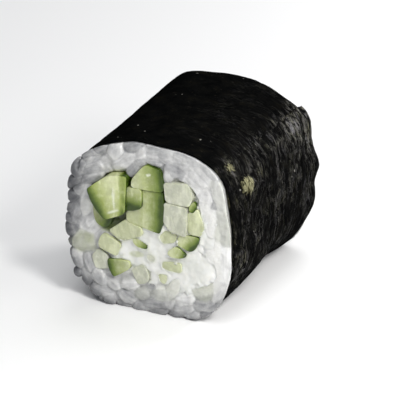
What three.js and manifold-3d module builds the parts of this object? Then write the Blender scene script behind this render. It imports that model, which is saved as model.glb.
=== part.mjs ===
// Cucumber maki roll: one piece cut from a long sushi roll, lying on its side.
//
// Millimetres. +X runs across the roll, +Y along it from the near cut to the far one, and +Z
// is up. The origin is the middle of the flat strip that the roll rests on.
//
// A nori sheet is wrapped once round the roll, and its free edge overlaps its start on the
// right. Inside it a ring of rice, a bed of cream cheese and cucumber sticks run right through,
// so all of them show at both cuts.

import * as THREE from 'three';
import { mergeVertices } from 'three/addons/utils/BufferGeometryUtils.js';
import Module from 'manifold-3d';

const wasm = await Module();
wasm.setup();

// ---------------------------------------------------------------- driving dimensions

const HALF_WIDTH = 15.1; // nori outside, middle to side
const HALF_HEIGHT = 15.45; // nori outside, middle to top
const FLATTENING = 0.3; // how far the roll's own weight presses its underside flat
const AXIS_HEIGHT = HALF_HEIGHT - FLATTENING;
const SQUARENESS = 3.25; // 2 would be an ellipse; more is a squarer section
const SQUARER_RIGHT = 0.4; // added to the squareness on the right, taken off on the left

const NORI_LENGTH = 35; // a 210 mm sheet cut in six
const NORI_THICKNESS = 0.28;
const LAYER_GAP = 0.14; // between the two layers where the sheet overlaps
const SHEET_STEPS = 84; // round the roll, five degrees each
const STEPS_PER_TURN = 72;
const SHEET_TURN = (360 * SHEET_STEPS) / STEPS_PER_TURN; // degrees that the sheet goes round
const LENGTH_STEPS = 8;
const SEAM_START = -15; // degrees above the right-hand side, where the inner end lies
const SEAM_RAMP = 25; // degrees over which the sheet climbs onto its own start
const FLAP_LIFT = 0.3; // how far the free edge stands up at the far end
const FLAP_ANGLE = 22; // degrees of the sheet that lift with it
const FLAP_START = 2; // place along the roll where it begins to lift
const EDGE_WAVER = 0.45; // how far the sheet's cut edges waver along the roll
const NEAR_WAVES = 4; // wavers in a turn of the near edge
const FAR_WAVES = 7; // and of the far edge
const EDGE_RETREAT = 0.7; // how far those edges draw back where the rice swells past them

const RICE_LENGTH = 36.9; // cut to cut, over the grains
const CORE_LENGTH = 34.2; // the pressed rice that the end grains sit on
const RICE_GAP = 0.2; // rice to nori
const NEIGHBOUR_GAP = 0.15; // between rice, cream and cucumber
const NEAR_BULGE = 1.1; // how far the grains swell past the nori at the near cut
const FAR_BULGE = 0.3; // and at the far one
const BULGE_SIDE = 228; // degrees: the middle of the side where they swell, left and below
const BULGE_FADE = 0.25; // how gently the swelling ends on the other side
const CORNER_BULGE = 1.4; // how far the near rice keeps its corner past the dented sheet
const CORNER_ANGLE = -37; // degrees: where that corner is, low on the right
const CORNER_SPREAD = 12; // degrees

const GRAIN_LENGTH = 6.4;
const GRAIN_THICKNESS = 2.9;
const GRAIN_SPACING = 2.75; // least distance between the middles of two grains
const GRAINS_PER_CUT = 66;
const GRAIN_TRIES = 6000; // random places tried for them
const GRAIN_INSET = 0.9; // least distance from a grain's middle to the outside of the roll
const RIM_SHARE = 0.86; // past this share of the way out, grains lie along the rim
const RIM_TURN = 20; // degrees by which those stray from it
const GRAIN_TILT = 25; // most degrees that a grain leans out of the cut
const GRAIN_SINK = 0.5; // most that a grain is sunk below the highest ones
const LENGTH_RANGE = [0.8, 1.1]; // shares of the full grain length
const THICKNESS_RANGE = [0.88, 1.12];
const BLUNTNESS = 0.7; // 1 would be a pure ellipsoid; less is a blunter grain
const POLE_GIRTH = 0.01; // a grain's two end points stay where they are
const GRAIN_SIDES = 6;
const GRAIN_BANDS = 4;
const GRAIN_SEED = 20417;

const CREAM_LENGTH = 35.6;
const CORNER_CUT = 0.3; // knife corners of the cucumber, rounded by this much
const SKIN_BOW = 0.07; // bulge of a skin side, as a share of its length
const BOW_STEPS = 3;

// Dents and swellings of the wrapped sheet: the angle and place along the roll of each one's
// middle, how far it spreads in degrees and in millimetres, and how far it rises outwards.
const DENTS = [
  { angle: -46, y: 2, spread: 18, reach: 9, rise: -2.1 }, // waist low on the right
  { angle: -38, y: -17, spread: 12, reach: 7, rise: -1.6 },
  { angle: -50, y: -20.5, spread: 15, reach: 3.5, rise: -1.2 },
  { angle: -34, y: 18, spread: 20, reach: 6, rise: -0.8 },
  { angle: 50, y: 18, spread: 20, reach: 9, rise: -1.6 }, // shoulder that slopes off behind
  { angle: 24, y: 17, spread: 13, reach: 8, rise: -0.8 },
  { angle: 128, y: -15, spread: 22, reach: 8, rise: -0.4 },
  { angle: 126, y: 13, spread: 22, reach: 11, rise: 0.9 },
  { angle: 75, y: 2, spread: 25, reach: 9, rise: 0.2 },
  { angle: 8, y: 17, spread: 9, reach: 6, rise: 0.45 },
  { angle: -8, y: 16, spread: 7, reach: 5, rise: -0.45 },
  { angle: 168, y: 6, spread: 25, reach: 10, rise: -0.3 },
];

// Low ripples all round the sheet: waves per turn, drift along the roll and height.
const RIPPLES = [
  { waves: 7, drift: 0.22, height: 0.1 },
  { waves: 12, drift: -0.35, height: 0.07 },
];

// Two flecks stuck on the sheet high on the right: place, and half sizes round and along.
const FLECKS = [
  { angle: 29, y: -11.4, round: 1.2, along: 1.7 },
  { angle: 40, y: -13.6, round: 0.9, along: 1.5 },
];
const FLECK_RISE = 0.24;
const FLECK_LEAN = 14; // degrees that the sheet leans inwards there
const FLECK_SIDES = 8;
const FLECK_BANDS = 5;

// The tables below give places on the cut: X across, and height above the nori's inside face.

// Cucumber sticks, in the order in which they are laid, so that each is notched round those
// before it. `near` and `far` are how far the two ends stand from the middle of the roll.
// `skin` is the side that carries green skin, counted from the first corner, or NO_SKIN.
const NO_SKIN = -1;
const STICKS = [
  { near: 19.3, far: 18.5, skin: 4,
    corners: [[-11, 20.9], [-7.2, 23.8], [-3.8, 24.2], [-4.3, 17.5], [-7.9, 15.9]] },
  { near: 18.7, far: 17.8, skin: 2,
    corners: [[-5, 22], [-1.3, 22.2], [-1.3, 18.8], [-5, 18]] },
  { near: 18.6, far: 18.9, skin: 3,
    corners: [[-3, 22.4], [-2.9, 23.8], [-0.6, 26.6], [2.1, 26.1], [2.6, 22.3]] },
  { near: 18.2, far: 18.6, skin: 1,
    corners: [[-4.2, 21.8], [2.5, 22.1], [2, 14.7], [-4.3, 15.8]] },
  { near: 18.3, far: 17.9, skin: NO_SKIN,
    corners: [[2.8, 24], [7, 24.3], [7.9, 22.2], [7.2, 20.4], [3.2, 20.7]] },
  { near: 18.5, far: 18.3, skin: NO_SKIN,
    corners: [[2.8, 20.4], [6.9, 20.1], [6.9, 15.1], [4, 15.5], [2.7, 17]] },
  { near: 17.9, far: 18.1, skin: 2,
    corners: [[7.1, 20], [8, 21.4], [8.6, 20.4], [7.7, 19.2]] },
  { near: 18.1, far: 18.6, skin: NO_SKIN,
    corners: [[7.1, 19.2], [8.7, 20.2], [9.9, 17.3], [9.4, 15.5], [7.1, 15.6]] },
  { near: 17.7, far: 18.2, skin: 4,
    corners: [[-10.5, 18.8], [-6.8, 16.6], [-7.7, 14.2], [-8.7, 13.8], [-10.1, 14.6]] },
  { near: 18.2, far: 17.7, skin: NO_SKIN,
    corners: [[-7.6, 13.5], [-4.4, 16], [-1.6, 15.3], [-1.3, 13.8], [-5.4, 12]] },
  { near: 18.3, far: 18.4, skin: NO_SKIN,
    corners: [[-9.3, 11.8], [-8.5, 12.9], [-5.4, 11.3], [-6.2, 9.1], [-9.4, 10.3]] },
  { near: 18.4, far: 18, skin: 3,
    corners: [[-7.9, 8.3], [-3.7, 8.6], [-3.7, 7.3], [-6.8, 5.2]] },
  { near: 17.9, far: 18.3, skin: NO_SKIN,
    corners: [[-10.9, 8.2], [-9.7, 9.7], [-8.1, 8.8], [-7.7, 6.5], [-10.2, 6]] },
  { near: 18.1, far: 17.8, skin: NO_SKIN,
    corners: [[-3.4, 7.1], [-1.2, 8.4], [-0.2, 6.2], [-0.6, 5.2], [-2.3, 4.6]] },
  { near: 17.8, far: 18.2, skin: 2,
    corners: [[-3.2, 13.1], [-0.2, 11.9], [-0.7, 11], [-3.1, 12]] },
  { near: 18.2, far: 17.9, skin: 2,
    corners: [[5.5, 14.9], [9.2, 15.2], [8.8, 13.8], [7.6, 12.4], [4.9, 13.2]] },
  { near: 18.3, far: 18.1, skin: 2,
    corners: [[3.3, 11.5], [4.8, 12.8], [6.9, 11.6], [5.8, 10.9], [4, 10.9]] },
  { near: 18, far: 18.4, skin: 1,
    corners: [[2.2, 9.5], [5.7, 9.8], [5.7, 8.1], [2.2, 8.3]] },
  { near: 17.8, far: 18.1, skin: NO_SKIN,
    corners: [[1.4, 7.3], [3.2, 7.3], [2.8, 5.6], [2.1, 5.6]] },
  { near: 17.9, far: 18, skin: NO_SKIN,
    corners: [[1.6, 14], [2.8, 15.4], [5, 15], [4.5, 13.5], [2.4, 12.9]] },
  { near: 17.8, far: 17.9, skin: NO_SKIN,
    corners: [[-0.5, 10.5], [0.9, 9.8], [0.4, 9.1], [-0.4, 9.4]] },
];

// The cream cheese is the union of four soft lobes that run along the roll.
const CREAM_LOBES = [
  { x: 4.6, z: 9.4, halfWide: 8.4, halfHigh: 4.9, turn: -4 },
  { x: -2, z: 11, halfWide: 4.6, halfHigh: 4, turn: 25 },
  { x: 2.4, z: 13.7, halfWide: 4.9, halfHigh: 2.6, turn: 0 },
  { x: 10.6, z: 13.6, halfWide: 1.9, halfHigh: 6.2, turn: 4 },
];
const CREAM_LUMPS = 9; // low swellings at each cut
const LUMP_WIDTH = [1.2, 2.4]; // least and greatest half sizes of a swelling
const LUMP_RISE = [0.3, 0.6];
const LUMP_HEIGHT = [1, 2];
const LUMP_SPREAD = 0.7; // share of a lobe's size that their middles keep within
const LUMP_SIDES = 10;
const LUMP_BANDS = 6;
const LOBE_SIDES = 40;

// The loose space in the rice round the upper sticks. It reaches a little way in from each cut.
const POCKET_DEPTH = 8;
const POCKET_LOBES = [
  { x: -4.6, z: 19.4, halfWide: 5.9, halfHigh: 5.1, turn: 12 },
  { x: 4.4, z: 19.4, halfWide: 4.9, halfHigh: 5.2, turn: 0 },
  { x: -0.6, z: 22.6, halfWide: 3.2, halfHigh: 4.4, turn: 0 },
];
const POCKET_SIDES = 24;

// Grains that stand out at the rim of the near cut: middle, length, thickness and turn.
const RIM_GRAINS = [
  { x: -10.8, z: 27.1, length: 5.6, thick: 3.2, turn: 38 },
  { x: -6.5, z: 27.7, length: 3.9, thick: 3, turn: 72 },
  { x: -4.6, z: 26.3, length: 6.7, thick: 3.1, turn: 33 },
  { x: -10.9, z: 24.1, length: 5.4, thick: 3, turn: 18 },
  { x: -13.7, z: 23.6, length: 5.4, thick: 2.7, turn: 98 },
  { x: -13, z: 19.9, length: 4.6, thick: 2.9, turn: 28 },
  { x: -14.3, z: 16.2, length: 4.2, thick: 3.2, turn: 62 },
  { x: -15.3, z: 12.5, length: 3.3, thick: 2.4, turn: 100 },
  { x: -13.2, z: 10, length: 5.8, thick: 4.2, turn: 8 },
  { x: -14, z: 4.5, length: 2.2, thick: 1.9, turn: 20 },
  { x: -13.9, z: 6.9, length: 4.6, thick: 2.8, turn: 112 },
  { x: -9.4, z: 1.7, length: 6, thick: 3.3, turn: -12 },
  { x: -4.7, z: 1.3, length: 4, thick: 3, turn: -28 },
  { x: 0.5, z: 1.4, length: 6.7, thick: 3.6, turn: 4 },
  { x: 6.2, z: 1.2, length: 4.7, thick: 3, turn: 10 },
  { x: 11, z: 2.7, length: 4.4, thick: 2.9, turn: 38 },
  { x: 12.7, z: 5.6, length: 5.2, thick: 3.1, turn: 58 },
];

// ---------------------------------------------------------------- small helpers

const degrees = THREE.MathUtils.degToRad;

// A short repeatable random source, so that every run lays the same grains.
const RANDOM_FACTOR = 1664525;
const RANDOM_STEP = 1013904223;
const RANDOM_RANGE = 2 ** 32;

function seededRandom(seed) {
  let state = seed;
  return () => {
    state = (state * RANDOM_FACTOR + RANDOM_STEP) % RANDOM_RANGE;
    return state / RANDOM_RANGE;
  };
}

// A value part of the way from the first of two numbers to the second.
function between([low, high], share) {
  return THREE.MathUtils.lerp(low, high, share);
}

// Least angle between two directions, in degrees.
function angleBetween(a, b) {
  const turn = (((a - b) % 360) + 540) % 360 - 180;
  return Math.abs(turn);
}

const MERGE_DISTANCE = 1e-4;

// A three.js geometry as a manifold solid, keeping only its positions.
function toSolid(geometry) {
  const plain = geometry.index ? geometry.clone() : geometry;
  plain.deleteAttribute('normal');
  plain.deleteAttribute('uv');
  const merged = mergeVertices(plain, MERGE_DISTANCE);
  return new wasm.Manifold(new wasm.Mesh({
    numProp: 3,
    vertProperties: new Float32Array(merged.attributes.position.array),
    triVerts: new Uint32Array(merged.index.array),
  }));
}

// A manifold solid as a three.js geometry.
function toGeometry(solid) {
  const mesh = solid.getMesh();
  const geometry = new THREE.BufferGeometry();
  geometry.setAttribute('position', new THREE.BufferAttribute(mesh.vertProperties, 3));
  geometry.setIndex(new THREE.BufferAttribute(mesh.triVerts, 1));
  geometry.computeVertexNormals();
  return geometry;
}

function joinAll(solids) {
  return solids.reduce((whole, solid) => whole.add(solid));
}

function cutAll(solid, tools) {
  return tools.reduce((left, tool) => left.subtract(tool), solid);
}

// The largest body of a cut solid, without the loose scraps that the cut leaves.
function withoutScraps(solid) {
  const pieces = solid.decompose();
  return pieces.sort((a, b) => b.volume() - a.volume())[0];
}

// Moves every vertex of a geometry by a function of its old place.
function reshape(geometry, move) {
  const places = geometry.attributes.position;
  const point = new THREE.Vector3();
  for (let i = 0; i < places.count; i += 1) {
    point.fromBufferAttribute(places, i);
    const moved = move(point);
    places.setXYZ(i, moved.x, moved.y, moved.z);
  }
  return geometry;
}

// A flat outline in X and Z, run along the roll from one place to another.
// Its heights count from the nori's inside face.
function prism(shape, nearY, farY) {
  const geometry = new THREE.ExtrudeGeometry(shape, {
    depth: farY - nearY,
    bevelEnabled: false,
    curveSegments: BOW_STEPS,
  });
  geometry.rotateX(Math.PI / 2);
  geometry.translate(0, farY, NORI_THICKNESS);
  return geometry;
}

// ---------------------------------------------------------------- the roll's outside

// Distance from the roll's axis to the outside of the sheet, before any dent.
function sectionRadius(angle) {
  const across = Math.abs(Math.cos(degrees(angle))) / HALF_WIDTH;
  const upward = Math.abs(Math.sin(degrees(angle))) / HALF_HEIGHT;
  const power = SQUARENESS + SQUARER_RIGHT * Math.cos(degrees(angle));
  return (across ** power + upward ** power) ** (-1 / power);
}

function dentRise(angle, y) {
  let rise = 0;
  for (const dent of DENTS) {
    const turn = angleBetween(angle, dent.angle) / dent.spread;
    const along = (y - dent.y) / dent.reach;
    rise += dent.rise * Math.exp(-turn * turn - along * along);
  }
  for (const ripple of RIPPLES) {
    rise += ripple.height * Math.sin(ripple.waves * degrees(angle) + ripple.drift * y);
  }
  return rise;
}

// A point `depth` below the outside of the wrapped sheet. The underside is pressed flat.
function skinPoint(angle, y, depth) {
  const radius = sectionRadius(angle) + dentRise(angle, y) - depth;
  const x = radius * Math.cos(degrees(angle));
  const z = AXIS_HEIGHT + radius * Math.sin(degrees(angle));
  return new THREE.Vector3(x, y, Math.max(z, depth, 0));
}

// 1 where the rice swells past the sheet's edges, 0 where it lies flush with them.
function bulgeShare(angle) {
  const facing = Math.cos(degrees(angle - BULGE_SIDE));
  return THREE.MathUtils.smoothstep(facing, -BULGE_FADE, BULGE_FADE);
}

// ---------------------------------------------------------------- nori

// How far the sheet stands off the roll at an angle that counts on past a full turn.
function wrapLift(angle, y) {
  const rampStart = SEAM_START + 360 - SEAM_RAMP;
  const climb = THREE.MathUtils.smoothstep(angle, rampStart, SEAM_START + 360);
  const sheetEnd = SEAM_START + SHEET_TURN;
  const freeEdge = THREE.MathUtils.smoothstep(angle, sheetEnd - FLAP_ANGLE, sheetEnd);
  const farSide = THREE.MathUtils.smoothstep(y, FLAP_START, NORI_LENGTH / 2);
  return climb * (NORI_THICKNESS + LAYER_GAP) + FLAP_LIFT * freeEdge * farSide;
}

// The sheet's two cut edges waver; the rest of it follows in proportion.
function sheetY(share, angle) {
  const waves = share < 0 ? NEAR_WAVES : FAR_WAVES;
  const waver = EDGE_WAVER * (0.5 + 0.5 * Math.sin(waves * degrees(angle)));
  return share * (NORI_LENGTH - 2 * (waver + EDGE_RETREAT * bulgeShare(angle)));
}

// A flat block of sheet with both faces split alike, then wrapped round the roll.
function makeNori() {
  const block = new THREE.BoxGeometry(1, 1, 1, SHEET_STEPS, LENGTH_STEPS, 1);
  const sheet = reshape(block, (point) => {
    const angle = SEAM_START + (0.5 - point.x) * SHEET_TURN;
    const y = sheetY(point.y, angle);
    const depth = (0.5 - point.z) * NORI_THICKNESS - wrapLift(angle, y);
    return skinPoint(angle, y, depth);
  });
  const flecks = FLECKS.map((fleck) => {
    const lump = new THREE.SphereGeometry(1, FLECK_SIDES, FLECK_BANDS);
    lump.scale(FLECK_RISE, fleck.along, fleck.round);
    lump.rotateY(-degrees(FLECK_LEAN));
    const top = skinPoint(fleck.angle, fleck.y, -wrapLift(fleck.angle + 360, fleck.y));
    lump.translate(top.x, top.y, top.z);
    return toSolid(lump);
  });
  return joinAll([toSolid(sheet), ...flecks]);
}

// ---------------------------------------------------------------- cucumber

// A stick's section: straight knife sides with cut corners, and a bowed side of skin.
function stickShape(stick, growth) {
  const corners = stick.corners.map(([x, z]) => new THREE.Vector2(x, z));
  const middle = corners.reduce((sum, corner) => sum.add(corner), new THREE.Vector2());
  middle.divideScalar(corners.length);
  for (const corner of corners) {
    const outward = corner.clone().sub(middle).normalize();
    corner.addScaledVector(outward, growth * Math.SQRT2);
  }
  const shape = new THREE.Shape();
  corners.forEach((corner, i) => {
    const before = corners[(i + corners.length - 1) % corners.length];
    const after = corners[(i + 1) % corners.length];
    const start = corner.clone().add(before.clone().sub(corner).setLength(CORNER_CUT));
    const end = corner.clone().add(after.clone().sub(corner).setLength(CORNER_CUT));
    const place = i === 0 ? 'moveTo' : 'lineTo';
    shape[place](start.x, start.y);
    shape.lineTo(end.x, end.y);
    if (i === stick.skin) {
      const half = end.clone().add(after).multiplyScalar(0.5);
      const outward = half.clone().sub(middle).normalize();
      const bulge = 2 * SKIN_BOW * end.distanceTo(after);
      const stop = after.clone().add(end.clone().sub(after).setLength(CORNER_CUT));
      half.addScaledVector(outward, bulge);
      shape.quadraticCurveTo(half.x, half.y, stop.x, stop.y);
    }
  });
  shape.closePath();
  return shape;
}

function stickSolid(stick, growth) {
  const shape = stickShape(stick, growth);
  const reach = growth > 0 ? RICE_LENGTH : 0;
  return toSolid(prism(shape, -stick.near - reach, stick.far + reach));
}

// Each stick is notched round the ones laid before it.
function makeSticks(clearances) {
  return STICKS.map((stick, i) => {
    const laidBefore = clearances.slice(0, i);
    return withoutScraps(cutAll(stickSolid(stick, 0), laidBefore));
  });
}

// ---------------------------------------------------------------- cream cheese

function lobeShape(lobe, growth) {
  const shape = new THREE.Shape();
  const wide = lobe.halfWide + growth;
  const high = lobe.halfHigh + growth;
  shape.absellipse(lobe.x, lobe.z, wide, high, 0, Math.PI * 2, false, degrees(lobe.turn));
  return shape;
}

function lobeSolid(lobe, growth, nearY, farY, sides) {
  const points = lobeShape(lobe, growth).getSpacedPoints(sides);
  points.pop();
  return toSolid(prism(new THREE.Shape(points), nearY, farY));
}

function creamBody(growth, halfLength) {
  const lobes = CREAM_LOBES.map((lobe) => (
    lobeSolid(lobe, growth, -halfLength, halfLength, LOBE_SIDES)
  ));
  return joinAll(lobes);
}

// Low round swellings where the cream is squeezed out a little at both cuts.
function creamLumps(random) {
  const lumps = [];
  for (const side of [-1, 1]) {
    for (let i = 0; i < CREAM_LUMPS; i += 1) {
      const lobe = CREAM_LOBES[i % CREAM_LOBES.length];
      const angle = random() * Math.PI * 2;
      const share = LUMP_SPREAD * Math.sqrt(random());
      const lump = new THREE.SphereGeometry(1, LUMP_SIDES, LUMP_BANDS);
      const wide = between(LUMP_WIDTH, random());
      const rise = between(LUMP_RISE, random());
      const high = between(LUMP_HEIGHT, random());
      lump.scale(wide, rise, high);
      lump.translate(
        lobe.x + share * lobe.halfWide * Math.cos(angle),
        (side * CREAM_LENGTH) / 2,
        lobe.z + share * lobe.halfHigh * Math.sin(angle) + NORI_THICKNESS,
      );
      lumps.push(toSolid(lump));
    }
  }
  return lumps;
}

function makeCream(clearances) {
  const random = seededRandom(GRAIN_SEED + 1);
  const lumps = joinAll(creamLumps(random)).intersect(creamBody(0, RICE_LENGTH));
  const body = creamBody(0, CREAM_LENGTH / 2).add(lumps);
  return withoutScraps(cutAll(body, clearances));
}

// ---------------------------------------------------------------- rice

// How far the rice stands out past the sheet's edge at the near or the far cut.
function riceSwell(angle, y) {
  if (y > 0) {
    return RICE_GAP + FAR_BULGE * bulgeShare(angle);
  }
  const turn = angleBetween(angle, CORNER_ANGLE) / CORNER_SPREAD;
  return RICE_GAP + NEAR_BULGE * bulgeShare(angle) + CORNER_BULGE * Math.exp(-turn * turn);
}

const AXIS_ZONE = 0.5; // within this of the axis, a point of the unit barrel is an end's middle

// The space that the rice may fill: inside the sheet, and past its edges a little more on the
// left and below, where the grains swell out.
function riceSpace() {
  const beyond = RICE_LENGTH / 2 + GRAIN_THICKNESS;
  const inside = NORI_THICKNESS + RICE_GAP;
  const stations = [{ share: -1, out: true }];
  for (let j = 0; j <= LENGTH_STEPS; j += 1) {
    stations.push({ share: 2 * j / LENGTH_STEPS - 1, out: false });
  }
  stations.push({ share: 1, out: true });
  const bands = stations.length + 1;
  const barrel = new THREE.CylinderGeometry(1, 1, 1, STEPS_PER_TURN, bands);
  barrel.deleteAttribute('normal');
  barrel.deleteAttribute('uv');
  return toSolid(reshape(mergeVertices(barrel, MERGE_DISTANCE), (point) => {
    const onAxis = Math.hypot(point.x, point.z) < AXIS_ZONE;
    const angle = THREE.MathUtils.radToDeg(Math.atan2(point.z, point.x));
    const swell = riceSwell(angle, point.y);
    const edge = NORI_LENGTH / 2 + NEIGHBOUR_GAP - EDGE_RETREAT * bulgeShare(angle);
    const band = Math.round((point.y + 0.5) * bands);
    if (band === 0 || band === bands) {
      const y = Math.sign(point.y) * beyond;
      return onAxis ? new THREE.Vector3(0, y, AXIS_HEIGHT) : skinPoint(angle, y, inside - swell);
    }
    const station = stations[band - 1];
    return skinPoint(angle, station.share * edge, inside - (station.out ? swell : 0));
  }));
}

// A grain is a ball drawn out along one axis, with its ends kept blunt.
function grainSolid(x, y, z, length, thick, turn, tilt) {
  const grain = reshape(new THREE.SphereGeometry(1, GRAIN_SIDES, GRAIN_BANDS), (point) => {
    const girth = Math.hypot(point.x, point.z);
    const fuller = girth > POLE_GIRTH ? girth ** (BLUNTNESS - 1) : 1;
    return new THREE.Vector3(point.x * fuller, point.y, point.z * fuller);
  });
  grain.scale(thick / 2, length / 2, thick / 2);
  grain.rotateZ(-Math.PI / 2);
  grain.rotateX(Math.PI / 2);
  grain.rotateZ(degrees(tilt));
  grain.rotateY(-degrees(turn));
  grain.translate(x, y, z + NORI_THICKNESS);
  return toSolid(grain);
}

function insideLobe(lobe, x, z, growth) {
  const place = new THREE.Vector2(x - lobe.x, z - lobe.z);
  place.rotateAround(new THREE.Vector2(), -degrees(lobe.turn));
  const across = place.x / (lobe.halfWide + growth);
  const upward = place.y / (lobe.halfHigh + growth);
  return across * across + upward * upward < 1;
}

// Grain middles spread evenly over the ring of rice at a cut, clear of each other.
function spreadGrains(taken, random) {
  const filling = [...CREAM_LOBES, ...POCKET_LOBES];
  const placed = [];
  for (let tries = 0; tries < GRAIN_TRIES && placed.length < GRAINS_PER_CUT; tries += 1) {
    const angle = random() * 360;
    const share = Math.sqrt(random());
    const radius = share * (sectionRadius(angle) - GRAIN_INSET);
    const x = radius * Math.cos(degrees(angle));
    const z = AXIS_HEIGHT + radius * Math.sin(degrees(angle)) - NORI_THICKNESS;
    const buried = filling.some((lobe) => insideLobe(lobe, x, z, NEIGHBOUR_GAP));
    const crowded = [...taken, ...placed].some((other) => (
      Math.hypot(x - other.x, z - other.z) < GRAIN_SPACING
    ));
    if (!buried && !crowded) {
      placed.push({ x, z, angle, rim: share > RIM_SHARE });
    }
  }
  return placed;
}

function cutGrains(side, random) {
  const shown = side < 0 ? RIM_GRAINS : [];
  const face = RICE_LENGTH / 2;
  const grains = shown.map((grain) => {
    const y = side * (face - grain.thick / 2);
    return grainSolid(grain.x, y, grain.z, grain.length, grain.thick, grain.turn, 0);
  });
  for (const place of spreadGrains(shown, random)) {
    const length = GRAIN_LENGTH * between(LENGTH_RANGE, random());
    const thick = GRAIN_THICKNESS * between(THICKNESS_RANGE, random());
    const stray = random();
    const alongRim = place.angle + 90 + between([-RIM_TURN, RIM_TURN], stray);
    const turn = place.rim ? alongRim : 180 * stray;
    const tilt = between([-GRAIN_TILT, GRAIN_TILT], random());
    const reach = Math.hypot(
      (length / 2) * Math.sin(degrees(tilt)),
      (thick / 2) * Math.cos(degrees(tilt)),
    );
    const y = side * (face - reach - GRAIN_SINK * random());
    grains.push(grainSolid(place.x, y, place.z, length, thick, turn, tilt));
  }
  return grains;
}

// The pressed rice that the end grains sit on, and the grains, trimmed to the space for them.
function riceHeap() {
  const random = seededRandom(GRAIN_SEED);
  const width = 2 * (HALF_WIDTH + GRAIN_THICKNESS);
  const height = 2 * (HALF_HEIGHT + GRAIN_THICKNESS);
  const block = new THREE.BoxGeometry(width, CORE_LENGTH, height);
  block.translate(0, 0, AXIS_HEIGHT);
  const grains = joinAll([...cutGrains(-1, random), ...cutGrains(1, random)]);
  return toSolid(block).add(grains).intersect(riceSpace());
}

function makeRice(clearances) {
  const floor = RICE_LENGTH / 2 - POCKET_DEPTH;
  const pocket = joinAll(POCKET_LOBES.flatMap((lobe) => [
    lobeSolid(lobe, 0, -RICE_LENGTH, -floor, POCKET_SIDES),
    lobeSolid(lobe, 0, floor, RICE_LENGTH, POCKET_SIDES),
  ]));
  const cream = creamBody(NEIGHBOUR_GAP, RICE_LENGTH);
  return withoutScraps(cutAll(riceHeap(), [pocket, cream, ...clearances]));
}

// ---------------------------------------------------------------- the roll

const LOOKS = {
  nori: { color: 0x101310, roughness: 0.5 },
  rice: { color: 0xd9dadb, roughness: 0.45 },
  cream: { color: 0xf1f1e8, roughness: 0.4 },
  cucumber: { color: 0xaebd86, roughness: 0.3 },
};

const group = new THREE.Group();

function addPiece(name, solid, look) {
  const piece = new THREE.Mesh(toGeometry(solid), new THREE.MeshStandardMaterial(look));
  piece.name = name;
  group.add(piece);
}

const clearances = STICKS.map((stick) => stickSolid(stick, NEIGHBOUR_GAP));

addPiece('nori', makeNori(), LOOKS.nori);
addPiece('rice', makeRice(clearances), LOOKS.rice);
addPiece('cream_cheese', makeCream(clearances), LOOKS.cream);
makeSticks(clearances).forEach((solid, i) => {
  const number = String(i + 1).padStart(2, '0');
  addPiece(`cucumber_${number}`, solid, LOOKS.cucumber);
});

export default group;
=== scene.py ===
"""Looks of the cucumber maki roll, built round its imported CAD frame.

Shapes are worked out in millimetres in the frame's own axes: +X across the roll, +Y along it
away from the near cut, +Z up. new_mesh() turns them into metres. Angles are in degrees round
the roll's axis, from the right (+X) over the top.
"""
import math

import bmesh
import bpy
import numpy as np
from mathutils import Matrix, Vector, noise


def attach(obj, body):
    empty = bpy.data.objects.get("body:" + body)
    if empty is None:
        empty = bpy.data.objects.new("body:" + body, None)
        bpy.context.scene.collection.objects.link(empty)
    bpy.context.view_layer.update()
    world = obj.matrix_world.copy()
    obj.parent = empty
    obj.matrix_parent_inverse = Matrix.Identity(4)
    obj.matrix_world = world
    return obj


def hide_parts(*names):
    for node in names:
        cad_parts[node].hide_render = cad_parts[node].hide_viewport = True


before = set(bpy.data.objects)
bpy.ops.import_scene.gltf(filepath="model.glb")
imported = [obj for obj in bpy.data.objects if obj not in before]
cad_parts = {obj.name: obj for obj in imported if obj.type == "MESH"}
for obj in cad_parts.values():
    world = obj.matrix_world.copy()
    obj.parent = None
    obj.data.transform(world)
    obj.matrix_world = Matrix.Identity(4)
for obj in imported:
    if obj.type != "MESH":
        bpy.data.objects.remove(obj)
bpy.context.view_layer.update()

MM = 0.001
# More than any distance that is looked for.
FAR = 9.0

# ---------------- dimensions, as in the CAD but where a comment says otherwise

HALF_WIDTH = 15.1
HALF_HEIGHT = 15.45
FLATTENING = 0.3
AXIS_HEIGHT = HALF_HEIGHT - FLATTENING
SQUARENESS = 3.25
SQUARER_RIGHT = 0.4
NORI_LENGTH = 35.0
NORI_THICKNESS = 0.28
LAYER_GAP = 0.14
SEAM_START = -15.0
SHEET_TURN = 420.0
SHEET_END = SEAM_START + SHEET_TURN
SEAM_RAMP = 25.0
FLAP_LIFT = 0.3
FLAP_ANGLE = 22.0
FLAP_START = 2.0
EDGE_WAVER = 0.45
NEAR_WAVES = 4
FAR_WAVES = 7
RICE_LENGTH = 36.9
RICE_GAP = 0.2
EDGE_RETREAT = 0.7
NEAR_BULGE = 1.1
FAR_BULGE = 0.3
BULGE_SIDE = 228.0
BULGE_FADE = 0.25
CORNER_BULGE = 1.4
CORNER_ANGLE = -37.0
CORNER_SPREAD = 12.0

# Dents of the wrapped sheet: angle, y, spread in degrees, reach along the roll, rise. The last,
# a slight rounding of the near shoulder, is not in the CAD.
DENTS = (
    (-46, 2, 18, 9, -2.1), (-38, -17, 12, 7, -1.6),
    (-50, -20.5, 15, 3.5, -1.2), (-34, 18, 20, 6, -0.8),
    (50, 18, 20, 9, -1.6), (24, 17, 13, 8, -0.8),
    (128, -15, 22, 8, -0.4), (126, 13, 22, 11, 0.9),
    (75, 2, 25, 9, 0.2), (8, 17, 9, 6, 0.45),
    (-8, 16, 7, 5, -0.45), (168, 6, 25, 10, -0.3),
    (36, -18.5, 26, 6, -0.8),
)
RIPPLES = ((7, 0.22, 0.1), (12, -0.35, 0.07))

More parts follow.
